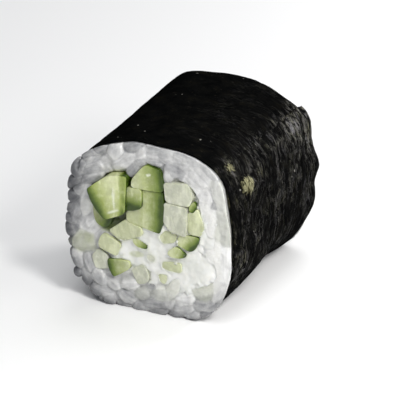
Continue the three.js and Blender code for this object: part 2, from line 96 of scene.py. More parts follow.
# Soft lobes on the cut: x, height above the nori's inside, half sizes and turn in degrees.
CREAM_LOBES = (
    (4.6, 9.4, 8.4, 4.9, -4),
    (-2.0, 11.0, 4.6, 4.0, 25),
    (2.4, 13.7, 4.9, 2.6, 0),
    (10.6, 13.6, 1.9, 6.2, 4),
)
POCKET_LOBES = (
    (-4.6, 19.4, 5.9, 5.1, 12),
    (4.4, 19.4, 4.9, 5.2, 0),
    (-0.6, 22.6, 3.2, 4.4, 0),
)
# A hollow under the first stick of the near cut, which is not in the CAD; its shadow is painted
# dark green.
RECESS_LOBES = ((-6.4, 15.9, 2.9, 1.7, 35),)
# The room that the rice leaves for the cream, which laps over its edge. It is not in the CAD.
CREAM_LAP = 1.1
CREAM_CORES = tuple((*lobe[:2], lobe[2] - CREAM_LAP, lobe[3] - CREAM_LAP, lobe[4])
                    for lobe in CREAM_LOBES)

# Grains at the rim of the near cut: x, height, length, thickness, turn in degrees, and tone,
# which is not in the CAD.
RIM_GRAINS = (
    (-10.8, 27.1, 5.6, 3.2, 38, 0.25), (-6.5, 27.7, 3.9, 3.0, 72, 0.6),
    (-4.6, 26.3, 6.7, 3.1, 33, 0.62), (-10.9, 24.1, 5.4, 3.0, 18, 0.3),
    (-13.7, 23.6, 5.4, 2.7, 98, 0.1), (-13.0, 19.9, 4.6, 2.9, 28, 0.35),
    (-14.3, 16.2, 4.2, 3.2, 62, 0.2), (-15.3, 12.5, 3.3, 2.4, 100, 0.1),
    (-13.2, 10.0, 5.8, 4.2, 8, 0.7), (-14.0, 4.5, 2.2, 1.9, 20, 0.1),
    (-13.9, 6.9, 4.6, 2.8, 112, 0.4), (-9.4, 1.7, 6.0, 3.3, -12, 0.3),
    (-4.7, 1.3, 4.0, 3.0, -28, 0.3), (0.5, 1.4, 6.7, 3.6, 4, 0.2),
    (6.2, 1.2, 4.7, 3.0, 10, 0.35), (11.0, 2.7, 4.4, 2.9, 38, 0.3),
    (12.7, 5.6, 5.2, 3.1, 58, 0.7),
)
GRAIN_LENGTH = 6.4
LEAST_LENGTH = 0.8
LENGTH_RANGE = 0.3
GRAIN_THICKNESS = 2.9
LEAST_THICKNESS = 0.88
THICKNESS_RANGE = 0.24
GRAIN_TILT = 25
GRAIN_SINK = 0.5
GRAIN_SPACING = 2.75
GRAINS_PER_CUT = 66
GRAIN_TRIES = 6000
GRAIN_INSET = 0.9
RIM_SHARE = 0.86
RIM_TURN = 20
GRAIN_SEED = 20417
RANDOM_FACTOR = 1664525
RANDOM_STEP = 1013904223
RANDOM_RANGE = 2**32

# ---------------- helpers


def new_object(name, data):
    made = bpy.data.objects.new(name, data)
    bpy.context.scene.collection.objects.link(made)
    return made


def new_mesh(name, points, faces):
    """A mesh object from points in millimetres, with its faces turned outwards."""
    mesh = bpy.data.meshes.new(name)
    mesh.from_pydata((np.asarray(points, float) * MM).tolist(), [], faces)
    mesh.validate()
    work = bmesh.new()
    work.from_mesh(mesh)
    bmesh.ops.recalc_face_normals(work, faces=work.faces)
    work.to_mesh(mesh)
    work.free()
    return new_object(name, mesh)


def new_piece(name, points, faces, material):
    """A smooth mesh piece from points in millimetres, riding on the roll."""
    piece = new_mesh(name, points, faces)
    piece.data.shade_smooth()
    piece.data.materials.append(material)
    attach(piece, "root")
    return piece


def add_values(piece, **values):
    """Numbers or vectors for each point, which the piece's material reads by name."""
    for name, numbers in values.items():
        vector = np.ndim(numbers) == 2
        shape = (len(piece.data.vertices), 3) if vector else len(piece.data.vertices)
        numbers = np.full(shape, numbers, np.float32).ravel()
        attribute = piece.data.attributes.new(name, "FLOAT_VECTOR" if vector else "FLOAT", "POINT")
        attribute.data.foreach_set("vector" if vector else "value", numbers)


def smoothstep(value, low, high):
    share = np.clip((value - low) / (high - low), 0, 1)
    return share * share * (3 - 2 * share)


def fade(value, full, none):
    """1 up to `full`, falling to 0 at `none`."""
    return 1 - smoothstep(value, full, none)


def fractal(points, scale, octaves=4, seed=0.0):
    """Soft noise from about -1 to 1 at each point, with features about 1 / scale wide."""
    shift = Vector((seed, 2 * seed, -seed))
    return np.array([
        noise.fractal(Vector(p) * scale + shift, 1.0, 2.0, octaves) for p in points.reshape(-1, 3)
    ]).reshape(points.shape[:-1])


# ---------------- the wrapped section


def turned(angle, middle):
    """How far a direction is from another, from -180 to 180 degrees."""
    return (angle - middle + 180) % 360 - 180


def polar(x, z):
    """Direction in degrees and distance of places on the cut from the roll's axis."""
    return np.degrees(np.arctan2(z - AXIS_HEIGHT, x)), np.hypot(x, z - AXIS_HEIGHT)


def on_cut(angle, radius):
    """The x and z of places at a direction and distance from the roll's axis."""
    return radius * np.cos(np.radians(angle)), AXIS_HEIGHT + radius * np.sin(np.radians(angle))


def section_radius(angle):
    a = np.radians(angle)
    power = SQUARENESS + SQUARER_RIGHT * np.cos(a)
    across = np.abs(np.cos(a)) / HALF_WIDTH
    upward = np.abs(np.sin(a)) / HALF_HEIGHT
    return (across**power + upward**power) ** (-1 / power)


def dent_rise(angle, y):
    rise = np.zeros(np.broadcast(angle, y).shape)
    for middle, place, spread, reach, height in DENTS:
        along = (y - place) / reach
        rise += height * np.exp(-(turned(angle, middle) / spread) ** 2 - along * along)
    for waves, drift, height in RIPPLES:
        rise += height * np.sin(waves * np.radians(angle) + drift * y)
    return rise


def skin_point(angle, y, depth):
    """Points `depth` below the outside of the wrapped sheet."""
    x, z = on_cut(angle, section_radius(angle) + dent_rise(angle, y) - depth)
    z = np.maximum(z, np.maximum(depth, 0))
    return np.stack(np.broadcast_arrays(x, y, z), -1)


# ---------------- bodies from grids and lumps


def cut_grid(wide, high, step):
    """Places over the cut as grids of x and z."""
    return np.meshgrid(np.arange(*wide, step), np.arange(*high, step), indexing="ij")


def height_slab(x, z, inside, low, high):
    """A closed body over the marked places of a grid in x and z, from y = low to y = high."""
    cells = inside[:-1, :-1] & inside[1:, :-1] & inside[1:, 1:] & inside[:-1, 1:]
    padded = np.pad(cells, 1)
    used = padded[1:, 1:] | padded[:-1, 1:] | padded[1:, :-1] | padded[:-1, :-1]
    count = used.sum()
    number = np.full(x.shape, -1)
    number[used] = np.arange(count)
    i, j = np.nonzero(cells)
    corners = np.stack([number[i, j], number[i + 1, j], number[i + 1, j + 1], number[i, j + 1]], -1)
    faces = [corners, corners + count]
    for di, dj, a, b in ((0, -1, 0, 1), (1, 0, 1, 2), (0, 1, 2, 3), (-1, 0, 3, 0)):
        bare = corners[~padded[i + 1 + di, j + 1 + dj]]
        faces.append(np.stack([bare[:, a], bare[:, b], bare[:, b] + count, bare[:, a] + count], -1))
    points = [np.stack(np.broadcast_arrays(x, y, z), -1)[used] for y in (low, high)]
    return np.concatenate(points), np.concatenate(faces)


def ring_faces(rings, around):
    """Faces of a tube from rings of points, each `around` points long."""
    return [
        (i * around + j, i * around + (j + 1) % around,
         (i + 1) * around + (j + 1) % around, (i + 1) * around + j)
        for i in range(rings - 1) for j in range(around)
    ]


def join_bodies(bodies):
    """One list of points and faces from several."""
    points, faces, start = [], [], 0
    for body_points, body_faces in bodies:
        points.append(body_points)
        faces += [tuple(int(v) + start for v in face) for face in body_faces]
        start += len(body_points)
    return np.concatenate(points), faces


def melt(points, faces, voxel, rounds):
    """Melts overlapping bodies into one skin with points about `voxel` apart, and evens it."""
    lump = new_mesh("melted", points, faces)
    remesh = lump.modifiers.new("melt", "REMESH")
    remesh.mode = "VOXEL"
    remesh.voxel_size = voxel * MM
    even = lump.modifiers.new("even", "SMOOTH")
    even.factor = 0.5
    even.iterations = rounds
    found = lump.evaluated_get(bpy.context.evaluated_depsgraph_get())
    result = bpy.data.meshes.new_from_object(found)
    points = np.array([v.co for v in result.vertices]) / MM
    faces = [tuple(face.vertices) for face in result.polygons]
    bpy.data.objects.remove(lump)
    bpy.data.meshes.remove(result)
    return points, faces


def edge_list(faces):
    corners = np.array(faces)
    pairs = np.concatenate([corners[:, [k, (k + 1) % corners.shape[1]]]
                            for k in range(corners.shape[1])])
    return np.unique(np.sort(pairs, 1), axis=0)


def neighbour_mean(values, edges, rounds):
    """Evens out one value or vector for each point along the edges of its mesh."""
    uses = np.bincount(edges.ravel(), minlength=len(values)).astype(float)
    uses = np.maximum(uses, 1).reshape(-1, *[1] * (np.ndim(values) - 1))
    for _ in range(rounds):
        total = np.zeros(np.shape(values))
        np.add.at(total, edges[:, 0], values[edges[:, 1]])
        np.add.at(total, edges[:, 1], values[edges[:, 0]])
        values = 0.5 * values + 0.5 * total / uses
    return values


def outline_distance(points, outline):
    """Distance of points in the plane from a closed outline, negative inside it."""
    ends = np.roll(outline, -1, 0)
    span = ends - outline
    to_start = points[:, None] - outline[None]
    share = np.clip((to_start * span).sum(-1) / (span * span).sum(-1), 0, 1)
    gap = np.linalg.norm(to_start - share[..., None] * span, axis=-1).min(1)
    x, z = points[:, None, 0], points[:, None, 1]
    above = (outline[:, 1] <= z) != (ends[:, 1] <= z)
    height = np.where(span[:, 1] == 0, 1, span[:, 1])
    crossing = outline[:, 0] + (z - outline[:, 1]) / height * span[:, 0]
    inside = (above & (x < crossing)).sum(1) % 2 == 1
    return np.where(inside, -gap, gap)


# ---------------- materials


# Millimetres under the skin at which the cucumber's heart has its full colour.
DEEPEST_FLESH = 5.0


class Shader:
    """A material with its Principled shader and short calls to add nodes."""

    def __init__(self, name):
        self.material = bpy.data.materials.new(name)
        self.material.use_nodes = True
        self.tree = self.material.node_tree
        self.surface = self.tree.nodes["Principled BSDF"]

    def feed(self, socket, value):
        """Links an output, or sets a constant, on an input socket."""
        if isinstance(value, bpy.types.NodeSocket):
            self.tree.links.new(value, socket)
        elif socket.type == "RGBA":
            socket.default_value = (*value, 1)
        else:
            socket.default_value = value

    def node(self, kind, inputs, **settings):
        """A new node with these settings, and with its inputs linked or set."""
        made = self.tree.nodes.new(kind)
        for key, value in settings.items():
            setattr(made, key, value)
        for key, value in inputs.items():
            self.feed(made.inputs[key], value)
        return made

    def set(self, **values):
        for key, value in values.items():
            self.feed(self.surface.inputs[key.replace("_", " ")], value)

    def attribute(self, name, output="Fac"):
        return self.node("ShaderNodeAttribute", {}, attribute_name=name).outputs[output]

    def place(self):
        return self.node("ShaderNodeTexCoord", {}).outputs["Object"]

    def mapped(self, vector, scale):
        return self.node("ShaderNodeMapping", {"Vector": vector, "Scale": scale}).outputs[0]

    def noise(self, vector, scale, detail=4.0, roughness=0.55, distortion=0.0):
        """Soft noise; a pair for a scale stretches it over the first two axes."""
        if isinstance(scale, tuple):
            vector, scale = self.mapped(vector, (*scale, 1)), 1.0
        return self.node("ShaderNodeTexNoise", {
            "Vector": vector, "Scale": scale, "Detail": detail, "Roughness": roughness,
            "Distortion": distortion,
        }).outputs["Fac"]

    def cells(self, vector, scale):
        """Distance from the middles of scattered cells."""
        return self.node("ShaderNodeTexVoronoi", {"Vector": vector, "Scale": scale}).outputs[0]

    def ramp(self, value, *stops):
        """A colour ramp; stops are (place, (r, g, b))."""
        made = self.node("ShaderNodeValToRGB", {"Fac": value})
        elements = made.color_ramp.elements
        while len(elements) < len(stops):
            elements.new(1.0)
        for element, (place, colour) in zip(elements, stops):
            element.position = place
            element.color = (*colour, 1)
        return made.outputs["Color"]

    def spread(self, value, low, high, to_low=0.0, to_high=1.0):
        """Maps the range from low to high to that from to_low to to_high, and stays within it."""
        return self.node("ShaderNodeMapRange", {
            "Value": value, "From Min": low, "From Max": high, "To Min": to_low, "To Max": to_high,
        }).outputs["Result"]

    def math(self, operation, first, second):
        return self.node("ShaderNodeMath", {0: first, 1: second}, operation=operation).outputs[0]

    def times(self, first, second):
        return self.math("MULTIPLY", first, second)

    def plus(self, first, second):
        return self.math("ADD", first, second)

    def mix(self, share, first, second):
        """Colours mixed: the first at a share of 0, the second at 1."""
        sockets = {"Factor": share, 6: first, 7: second}
        return self.node("ShaderNodeMix", sockets, data_type="RGBA").outputs[2]

    def bump(self, *layers):
        """Bump from (height output, strength, distance in metres), one over the other."""
        over = {}
        for height, strength, distance in layers:
            sockets = {"Height": height, "Strength": strength, "Distance": distance, **over}
            over = {"Normal": self.node("ShaderNodeBump", sockets).outputs["Normal"]}
        self.set(**over)


def nori_material():
    """Dried seaweed: near black and matt on top, drawn and glinting where it is stretched; there
    its colour is lifted towards olive, partly as painted sheen.
    """
    s = Shader("nori")
    sheet = s.attribute("sheet", "Vector")  # round the roll and along it, in millimetres
    threads = s.noise(sheet, (0.55, 1.25), 6, 0.68, 1.3)
    hairs = s.noise(sheet, (1.6, 4.2), 5, 0.7, 0.8)
    clumps = s.noise(sheet, (0.17, 0.3), 5, 0.6, 0.6)
    grit = s.noise(sheet, (1.2, 1.9), 5, 0.7)
    crumbs = s.noise(sheet, 2.2, 5, 0.7)
    dark = s.ramp(
        s.noise(sheet, 0.4, 5, 0.65),
        (0.32, (0.0022, 0.0024, 0.0026)),
        (0.55, (0.0042, 0.0043, 0.0042)),
        (0.75, (0.0085, 0.0078, 0.0055)),
    )
    tint = s.ramp(
        s.noise(sheet, 0.5, 3, 0.6),
        (0.35, (0.055, 0.05, 0.06)),
        (0.5, (0.075, 0.068, 0.05)),
        (0.65, (0.09, 0.085, 0.035)),
    )
    glints = s.times(s.spread(threads, 0.46, 0.68), s.spread(clumps, 0.44, 0.62, 0.1, 1.6))
    glints = s.times(glints, s.spread(hairs, 0.4, 0.64, 0.3, 1))
    glints = s.times(glints, s.spread(grit, 0.4, 0.62, 0.4, 1.2))
    drawn = s.times(s.attribute("gloss"), glints)
    # Painted sheen, with the sheet's own tints: where it glints, the colour is lifted from near
    # black towards olive and purple.
    colour = s.mix(s.spread(drawn, 0, 0.45), dark, tint)
    dashes = s.noise(sheet, (0.8, 2.6), 3, 0.6, 0.8)
    colour = s.mix(s.spread(dashes, 0.66, 0.74, 0, 0.8), colour, (0.04, 0.036, 0.028))
    near_dot = s.spread(s.cells(sheet, 0.6), 0.05, 0.11, 1, 0)
    chosen = s.spread(s.noise(sheet, 0.31, 2), 0.56, 0.58)
    colour = s.mix(s.times(near_dot, chosen), colour, (0.3, 0.29, 0.26))
    rim = s.plus(s.attribute("fleck"), s.spread(crumbs, 0.3, 0.7, -0.25, 0.5))
    yellow = s.mix(s.spread(threads, 0.4, 0.6), (0.04, 0.036, 0.017), (0.4, 0.385, 0.22))
    colour = s.mix(s.spread(rim, 0.7, 0.95, 1, 0), colour, yellow)
    s.set(Base_Color=colour, Specular_IOR_Level=s.spread(drawn, 0, 1, 0, 0.85))
    s.set(Roughness=s.spread(drawn, 0, 0.8, 0.62, 0.2))
    s.bump((threads, 0.9, 0.0006), (hairs, 0.8, 0.0002), (crumbs, 0.3, 0.00008))
    return s.material


def rice_material():
    """Cooked rice: moist, with painted highlights on its ridges and painted shade in its creases.
    """
    s = Shader("rice")
    place = s.place()
    milky = s.attribute("milky")
    cloud = s.noise(place, 330, 4, 0.6, 0.5)
    lumps = s.noise(place, 800, 4, 0.6, 0.3)
    frost = s.noise(place, 1900, 3, 0.6)
    streaks = s.noise(s.attribute("grain", "Vector"), (0.28, 1.3), 4, 0.6, 0.6)
    level = s.spread(s.attribute("tone"), 0.1, 0.9, -0.06, 0.68)
    for part in (
        s.spread(streaks, 0.3, 0.7, -0.14, 0.15),
        # painted shade where grains meet, painted highlight just inside each grain
        s.attribute("border"),
        s.spread(cloud, 0.35, 0.65, -0.06, 0.12),
        s.spread(lumps, 0.35, 0.65, -0.07, 0.08),
        # painted shade in the creases and painted highlight on the ridges
        s.spread(s.attribute("bulge"), -0.05, 0.06, -0.06, 0.16),
        s.spread(milky, 0, 1, 0, 0.2),
    ):
        level = s.plus(level, part)
    colour = s.ramp(
        level,
        (0.0, (0.205, 0.208, 0.216)),
        (0.3, (0.387, 0.389, 0.393)),
        (0.6, (0.588, 0.588, 0.582)),
        (0.95, (0.82, 0.82, 0.81)),
    )
    # Whitened where cream is mixed in, and on the right as painted light.
    creamy = s.plus(milky, s.spread(frost, 0.3, 0.7, -0.12, 0.12))
    colour = s.mix(s.spread(creamy, 0.75, 1, 0, 0.8), colour, (0.75, 0.75, 0.72))
    green = s.attribute("green")
    mottled = s.times(green, s.spread(cloud, 0.35, 0.6, 0.6, 1))
    colour = s.mix(s.spread(mottled, 0, 1), colour, (0.43, 0.45, 0.34))
    # Painted shadow: where 'green' is above 1, the recess under the first stick is tinted dark
    # green.
    colour = s.mix(s.spread(green, 1, 2), colour, (0.12, 0.15, 0.06))
    # Painted shade: the outer edge on the loose side is darkened towards a cool grey.
    dusk = s.times(s.attribute("dusk"), s.spread(lumps, 0.3, 0.65, 1, 0.7))
    colour = s.mix(dusk, colour, (0.055, 0.057, 0.067))
    s.set(Base_Color=colour, Roughness=s.spread(lumps, 0.3, 0.7, 0.42, 0.18))
    s.set(Subsurface_Weight=0.6, Subsurface_Radius=(1.0, 0.97, 0.9), Subsurface_Scale=0.0006)
    s.set(Specular_IOR_Level=0.35, Coat_Weight=0.15, Coat_Roughness=0.09)
    s.bump((cloud, 0.3, 0.0003), (lumps, 0.45, 0.0003), (frost, 0.4, 0.0001))
    return s.material


def cream_material():
    """Cream cheese, a little green where the cucumber's juice has run into it."""
    s = Shader("cream")
    place = s.place()
    cloud = s.noise(place, 260)
    colour = s.mix(s.spread(cloud, 0.35, 0.65), (0.68, 0.69, 0.65), (0.81, 0.81, 0.78))
    patches = s.spread(s.noise(place, 600), 0.35, 0.6, 0.35, 1)
    colour = s.mix(s.times(s.attribute("juice"), patches), colour, (0.46, 0.5, 0.27))
    s.set(Base_Color=colour, Roughness=s.spread(cloud, 0.3, 0.7, 0.5, 0.34))
    s.set(Subsurface_Weight=0.5, Subsurface_Radius=(1.0, 0.95, 0.8), Subsurface_Scale=0.0012)
    s.bump((s.noise(place, 700, 5), 0.3, 0.00015))
    return s.material


def cucumber_material(name, near_skin, flesh, heart):
    """Wet cucumber, coloured by its depth under the skin in millimetres, with painted highlights on
    some ends and painted shade on the side walls.
    """
    s = Shader(name)
    place = s.place()
    stain = s.noise(place, 420, 5, 0.65)
    veins = s.noise(s.mapped(place, (1, 0.2, 1)), 1100, 4, 0.6)
    fibres = s.noise(s.mapped(place, (1, 1, 0.4)), 620, 3, 0.55, 0.5)
    depth = s.plus(s.attribute("skin_depth"), s.spread(stain, 0.25, 0.75, -0.35, 0.35))
    colour = s.ramp(
        s.spread(depth, 0, DEEPEST_FLESH),
        (0.0, (0.035, 0.065, 0.006)),
        (0.07, (0.07, 0.115, 0.012)),
        (0.16, (0.15, 0.21, 0.035)),
        (0.32, near_skin),
        (0.58, flesh),
        (1.0, heart),
    )
    pale = tuple(min(1, 1.25 * c + 0.06) for c in heart)
    deep = tuple(0.6 * c for c in flesh)
    inner = s.spread(depth, 1.0, 2.4)
    for where, low, high, most, tone in (
        (veins, 0.5, 0.72, 0.4, pale),
        (stain, 0.45, 0.72, 0.65, deep),
        (fibres, 0.5, 0.66, 0.5, pale),
    ):
        colour = s.mix(s.times(inner, s.spread(where, low, high, 0, most)), colour, tone)
    # Painted highlight: the streaks are mixed towards near white.
    colour = s.mix(s.spread(s.attribute("wet"), 0, 1, 0, 0.6), colour, (0.93, 0.95, 0.86))
    s.set(Base_Color=colour, Roughness=s.spread(stain, 0.3, 0.7, 0.26, 0.12))
    s.set(Subsurface_Weight=0.3, Subsurface_Radius=(0.9, 1.0, 0.5), Subsurface_Scale=0.0006)
    s.set(Specular_IOR_Level=0.35, Coat_Weight=0.12, Coat_Roughness=0.06)
    s.bump((stain, 0.45, 0.0005), (veins, 0.3, 0.0001))
    return s.material


# ---------------- nori

# Where the sheet is split finely: angle the stretch ends at, and degrees between its columns.
SHEET_STRETCHES = ((45, 5.0), (135, 2.0), (300, 3.0), (405, 1.15))
SHEET_ROWS = 228
# Small bits stuck on the sheet: angle, y, half sizes round and along the roll, and how worn.
FLECKS = ((29, -11.4, 1.6, 2.3, 0.0), (43, -13.9, 1.6, 2.4, 0.4))
# The side where the sheet is drawn over the rice, the one where it lies smooth, and the one that
# it rests on.
DRAWN_SIDE = -8
SMOOTH_SIDE = 290
RESTING_SIDE = 270
# Where the drawn side's gloss ends, towards the top.
GLOSS_EDGE = 50.0
FLECK_RISE = 0.24
FLECK_LEAN = 14.0


def wrap_lift(angle, y):
    """How far the sheet stands off its own start, where it overlaps and at its free edge."""
    climb = smoothstep(angle, SEAM_START + 360 - SEAM_RAMP, SEAM_START + 360)
    free_edge = smoothstep(angle, SHEET_END - FLAP_ANGLE, SHEET_END)
    far_side = smoothstep(y, FLAP_START, NORI_LENGTH / 2)
    return climb * (NORI_THICKNESS + LAYER_GAP) + FLAP_LIFT * free_edge * far_side


def bulge_share(angle):
    """1 where the rice swells past the edge of the sheet, 0 where it lies flush."""
    return smoothstep(np.cos(np.radians(angle - BULGE_SIDE)), -BULGE_FADE, BULGE_FADE)


def corner_share(angle):
    """1 at the near cut's lower right corner, which the rice keeps past the dented sheet."""
    return np.exp(-(turned(angle, CORNER_ANGLE) / CORNER_SPREAD) ** 2)


def sheet_y(share, angle):
    """Places along the roll at shares of the sheet's length, whose cut edges waver."""
    waves = np.where(share < 0, NEAR_WAVES, FAR_WAVES)
    set_back = EDGE_WAVER * (0.5 + 0.5 * np.sin(waves * np.radians(angle)))
    set_back = set_back + EDGE_RETREAT * bulge_share(angle)
    return share * (NORI_LENGTH - 2 * set_back)


def facing_share(angle, middle, full, none):
    """1 within `full` degrees of a direction, falling to 0 at `none` degrees from it."""
    return fade(np.abs(turned(angle, middle)), full, none)


def sheet_columns():
    columns = [SEAM_START]
    for end, step in SHEET_STRETCHES:
        count = round((end - columns[-1]) / step)
        columns += list(np.linspace(columns[-1], end, count + 1)[1:])
    return np.array(columns)


def fleck_reach(angle, y):
    """Distance from the two small bits stuck on the sheet: 0 at their middle, 1 at their rim."""
    reach = np.full(angle.shape, FAR)
    lean = math.radians(FLECK_LEAN)
    for place, along, round_size, along_size, worn in FLECKS:
        arc = np.radians(turned(angle, place)) * HALF_WIDTH
        dy = y - along
        across = (arc * math.cos(lean) + dy * math.sin(lean)) / round_size
        beside = (-arc * math.sin(lean) + dy * math.cos(lean)) / along_size
        reach = np.minimum(reach, np.hypot(across, beside) + worn)
    return reach


def nori_gloss(turn, y, edge):
    """How far the sheet is drawn and shines, which also lifts its colour as painted sheen: on the
    right, most at its far shoulder and foot.
    """
    gloss = fade(turn, edge - 7, edge + 2) * smoothstep(turn, -46, -8)
    corner = smoothstep(y, 5, 15) * smoothstep(turn, 12, 36)
    foot = fade(y, -15, -7) * facing_share(turn, -28, 12, 30)
    gloss *= 0.33 + 1.35 * corner + 0.25 * facing_share(turn, 44, 3, 14) + 0.4 * foot
    gloss += 0.05 * facing_share(turn, 66, 10, 28) * smoothstep(y, -15, -8)
    gloss *= 1 - 0.75 * smoothstep(y, 0, 12) * fade(turn, -26, 0)
    return gloss + 0.3 * facing_share(turn, 190, 35, 65)


def make_nori(material):
    columns = sheet_columns()
    rows = np.linspace(-0.5, 0.5, SHEET_ROWS + 1)
    angle, share = np.meshgrid(columns, rows, indexing="ij")
    y = sheet_y(share, angle)
    zero = np.zeros(y.size)
    flat = np.stack([np.radians(angle).ravel() * HALF_WIDTH, y.ravel(), zero], -1)
    strayed = [fractal(flat, 0.2, 3, 11.0), 0.7 * fractal(flat, 0.33, 3, 31.0), zero]
    flat = flat + np.stack(strayed, -1)

    def relief(stretch, *settings, level=0, make=noise.fractal):
        """Noise over the flat sheet, stretched round and along it."""
        points = flat * [*stretch, 1] + [0, 0, level]
        return np.array([make(Vector(p), *settings) for p in points]).reshape(angle.shape)

    broad = relief((0.16, 0.16), 1.0, 2.0, 3)
    creases = relief((0.07, 0.55), 0.9, 2.2, 5, 1.0, 2.0, make=noise.ridged_multi_fractal)
    creases = (creases - creases.mean()) / creases.std()
    threads = relief((0.35, 2.2), 0.8, 2.1, 3)
    ragged = 0.09 * relief((1.1, 0.2), 0.8, 2.0, 4)
    waver = 1.6 * relief((0, 0.3), 0.9, 2.1, 4, level=4)
    edge = GLOSS_EDGE + 4 * relief((0.3, 0.3), 1.0, 2.0, 3)
    side = facing_share(angle, DRAWN_SIDE, 40, 72)
    under = facing_share(angle, SMOOTH_SIDE, 30, 62)
    crinkle = 0.08 * broad + (0.018 + 0.07 * side) * creases + (0.012 + 0.03 * side) * threads
    crinkle *= 1 - 0.8 * under
    y = y + ragged * (1 - under) * smoothstep(np.abs(share), 0.46, 0.5)
    angle = angle + waver * smoothstep(angle, SHEET_END - 12, SHEET_END)
    lap = SHEET_END - 360
    crinkle = crinkle * smoothstep(angle, lap - 4, lap + 4)
    doubled = smoothstep(angle, SEAM_START + 330, SEAM_START + 360)
    crinkle = np.maximum(crinkle, -0.12 * doubled - 0.3 * (1 - doubled))
    flecks = fleck_reach(angle, y) + FAR * (angle < lap)
    lift = wrap_lift(angle, y) + crinkle + FLECK_RISE * fade(flecks, 0.45, 1.0)
    stuck = smoothstep(angle, SHEET_END - 14, SHEET_END - 0.5) * fade(y, 6, 14)
    lift -= stuck * (NORI_THICKNESS + 0.6 * LAYER_GAP)
    lift = lift * (1 - facing_share(angle, RESTING_SIDE, 20, 34))
    layers = [skin_point(angle, y, depth - lift).reshape(-1, 3) for depth in (0, NORI_THICKNESS)]
    faces = shell_faces(len(columns) - 1, SHEET_ROWS)
    piece = new_piece("nori_sheet", np.concatenate(layers), faces, material)
    add_values(piece, sheet=np.concatenate([flat, flat]), fleck=np.tile(flecks.ravel(), 2),
               gloss=np.tile(nori_gloss(turned(angle, 0), y, edge).ravel(), 2))
    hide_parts("nori")


def shell_faces(columns, rows):
    """Faces of a sheet of two layers, (columns + 1) x (rows + 1) points each, closed all round."""
    at = np.arange(2 * (columns + 1) * (rows + 1)).reshape(2, columns + 1, rows + 1)
    layers = np.stack([at[:, :-1, :-1], at[:, 1:, :-1], at[:, 1:, 1:], at[:, :-1, 1:]], -1)
    faces = [np.moveaxis(layers, 0, 2)]
    for rim in (at[:, :, [0, -1]], at[:, [0, -1]].swapaxes(1, 2)):
        faces.append(np.stack([rim[0, :-1], rim[0, 1:], rim[1, 1:], rim[1, :-1]], -1))
    return np.concatenate([part.reshape(-1, 4) for part in faces]).tolist()


# ---------------- the sticks' outlines


def end_outline(node):
    """The outline of a stick's near end, in order, from its CAD solid, and where its ends are."""
    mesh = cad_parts[node].data
    points = np.array([v.co for v in mesh.vertices]) / MM
    near, far = points[:, 1].min(), points[:, 1].max()
    first = {}
    joined = [first.setdefault(tuple(np.round(p, 3)), number) for number, p in enumerate(points)]
    edges = set()
    for face in mesh.polygons:
        corners = [joined[v] for v in face.vertices]
        if (points[corners, 1] < near + 0.01).all():
            edges.update(zip(corners, corners[1:] + corners[:1]))
    border = {a: b for a, b in edges if (b, a) not in edges}
    loop = [min(border)]
    while border[loop[-1]] != loop[0]:
        loop.append(border[loop[-1]])
    return points[loop][:, [0, 2]], near, far


# Between the points of a stick's outline, where distances are taken from it and where it shows.
COARSE_STEP = 0.8
FINE_STEP = 0.16


def resample(outline, step):
    """A closed outline with evenly spaced points."""
    closed = np.vstack([outline, outline[:1]])
    reach = np.concatenate([[0], np.cumsum(np.hypot(*np.diff(closed, axis=0).T))])
    at = np.linspace(0, reach[-1], max(24, int(reach[-1] / step)), endpoint=False)
    return np.stack([np.interp(at, reach, closed[:, k]) for k in (0, 1)], -1)


# How far out sticks are taken to end where none is near.
NO_STICK_END = 18.0
# Outline and ends of each stick by its number.
STICK_COUNT = 21
STICKS = {number: end_outline(f"cucumber_{number:02d}") for number in range(1, STICK_COUNT + 1)}


def round_sticks(x, z, side):
    """Distance from the nearest stick, negative inside, and how far out that stick ends."""
    flat = np.stack([x.ravel(), z.ravel()], -1)
    nearest = np.full(len(flat), FAR)
    end = np.full(len(flat), NO_STICK_END)
    for outline, near, far in STICKS.values():
        low, high = outline.min(0) - 2, outline.max(0) + 2
        close = ((flat > low) & (flat < high)).all(1)
        gap = outline_distance(flat[close], resample(outline, COARSE_STEP))
        better = gap < nearest[close]
        which = np.nonzero(close)[0][better]
        nearest[which] = gap[better]
        end[which] = abs(near if side < 0 else far)
    return nearest.reshape(x.shape), end.reshape(x.shape)


# ---------------- rice

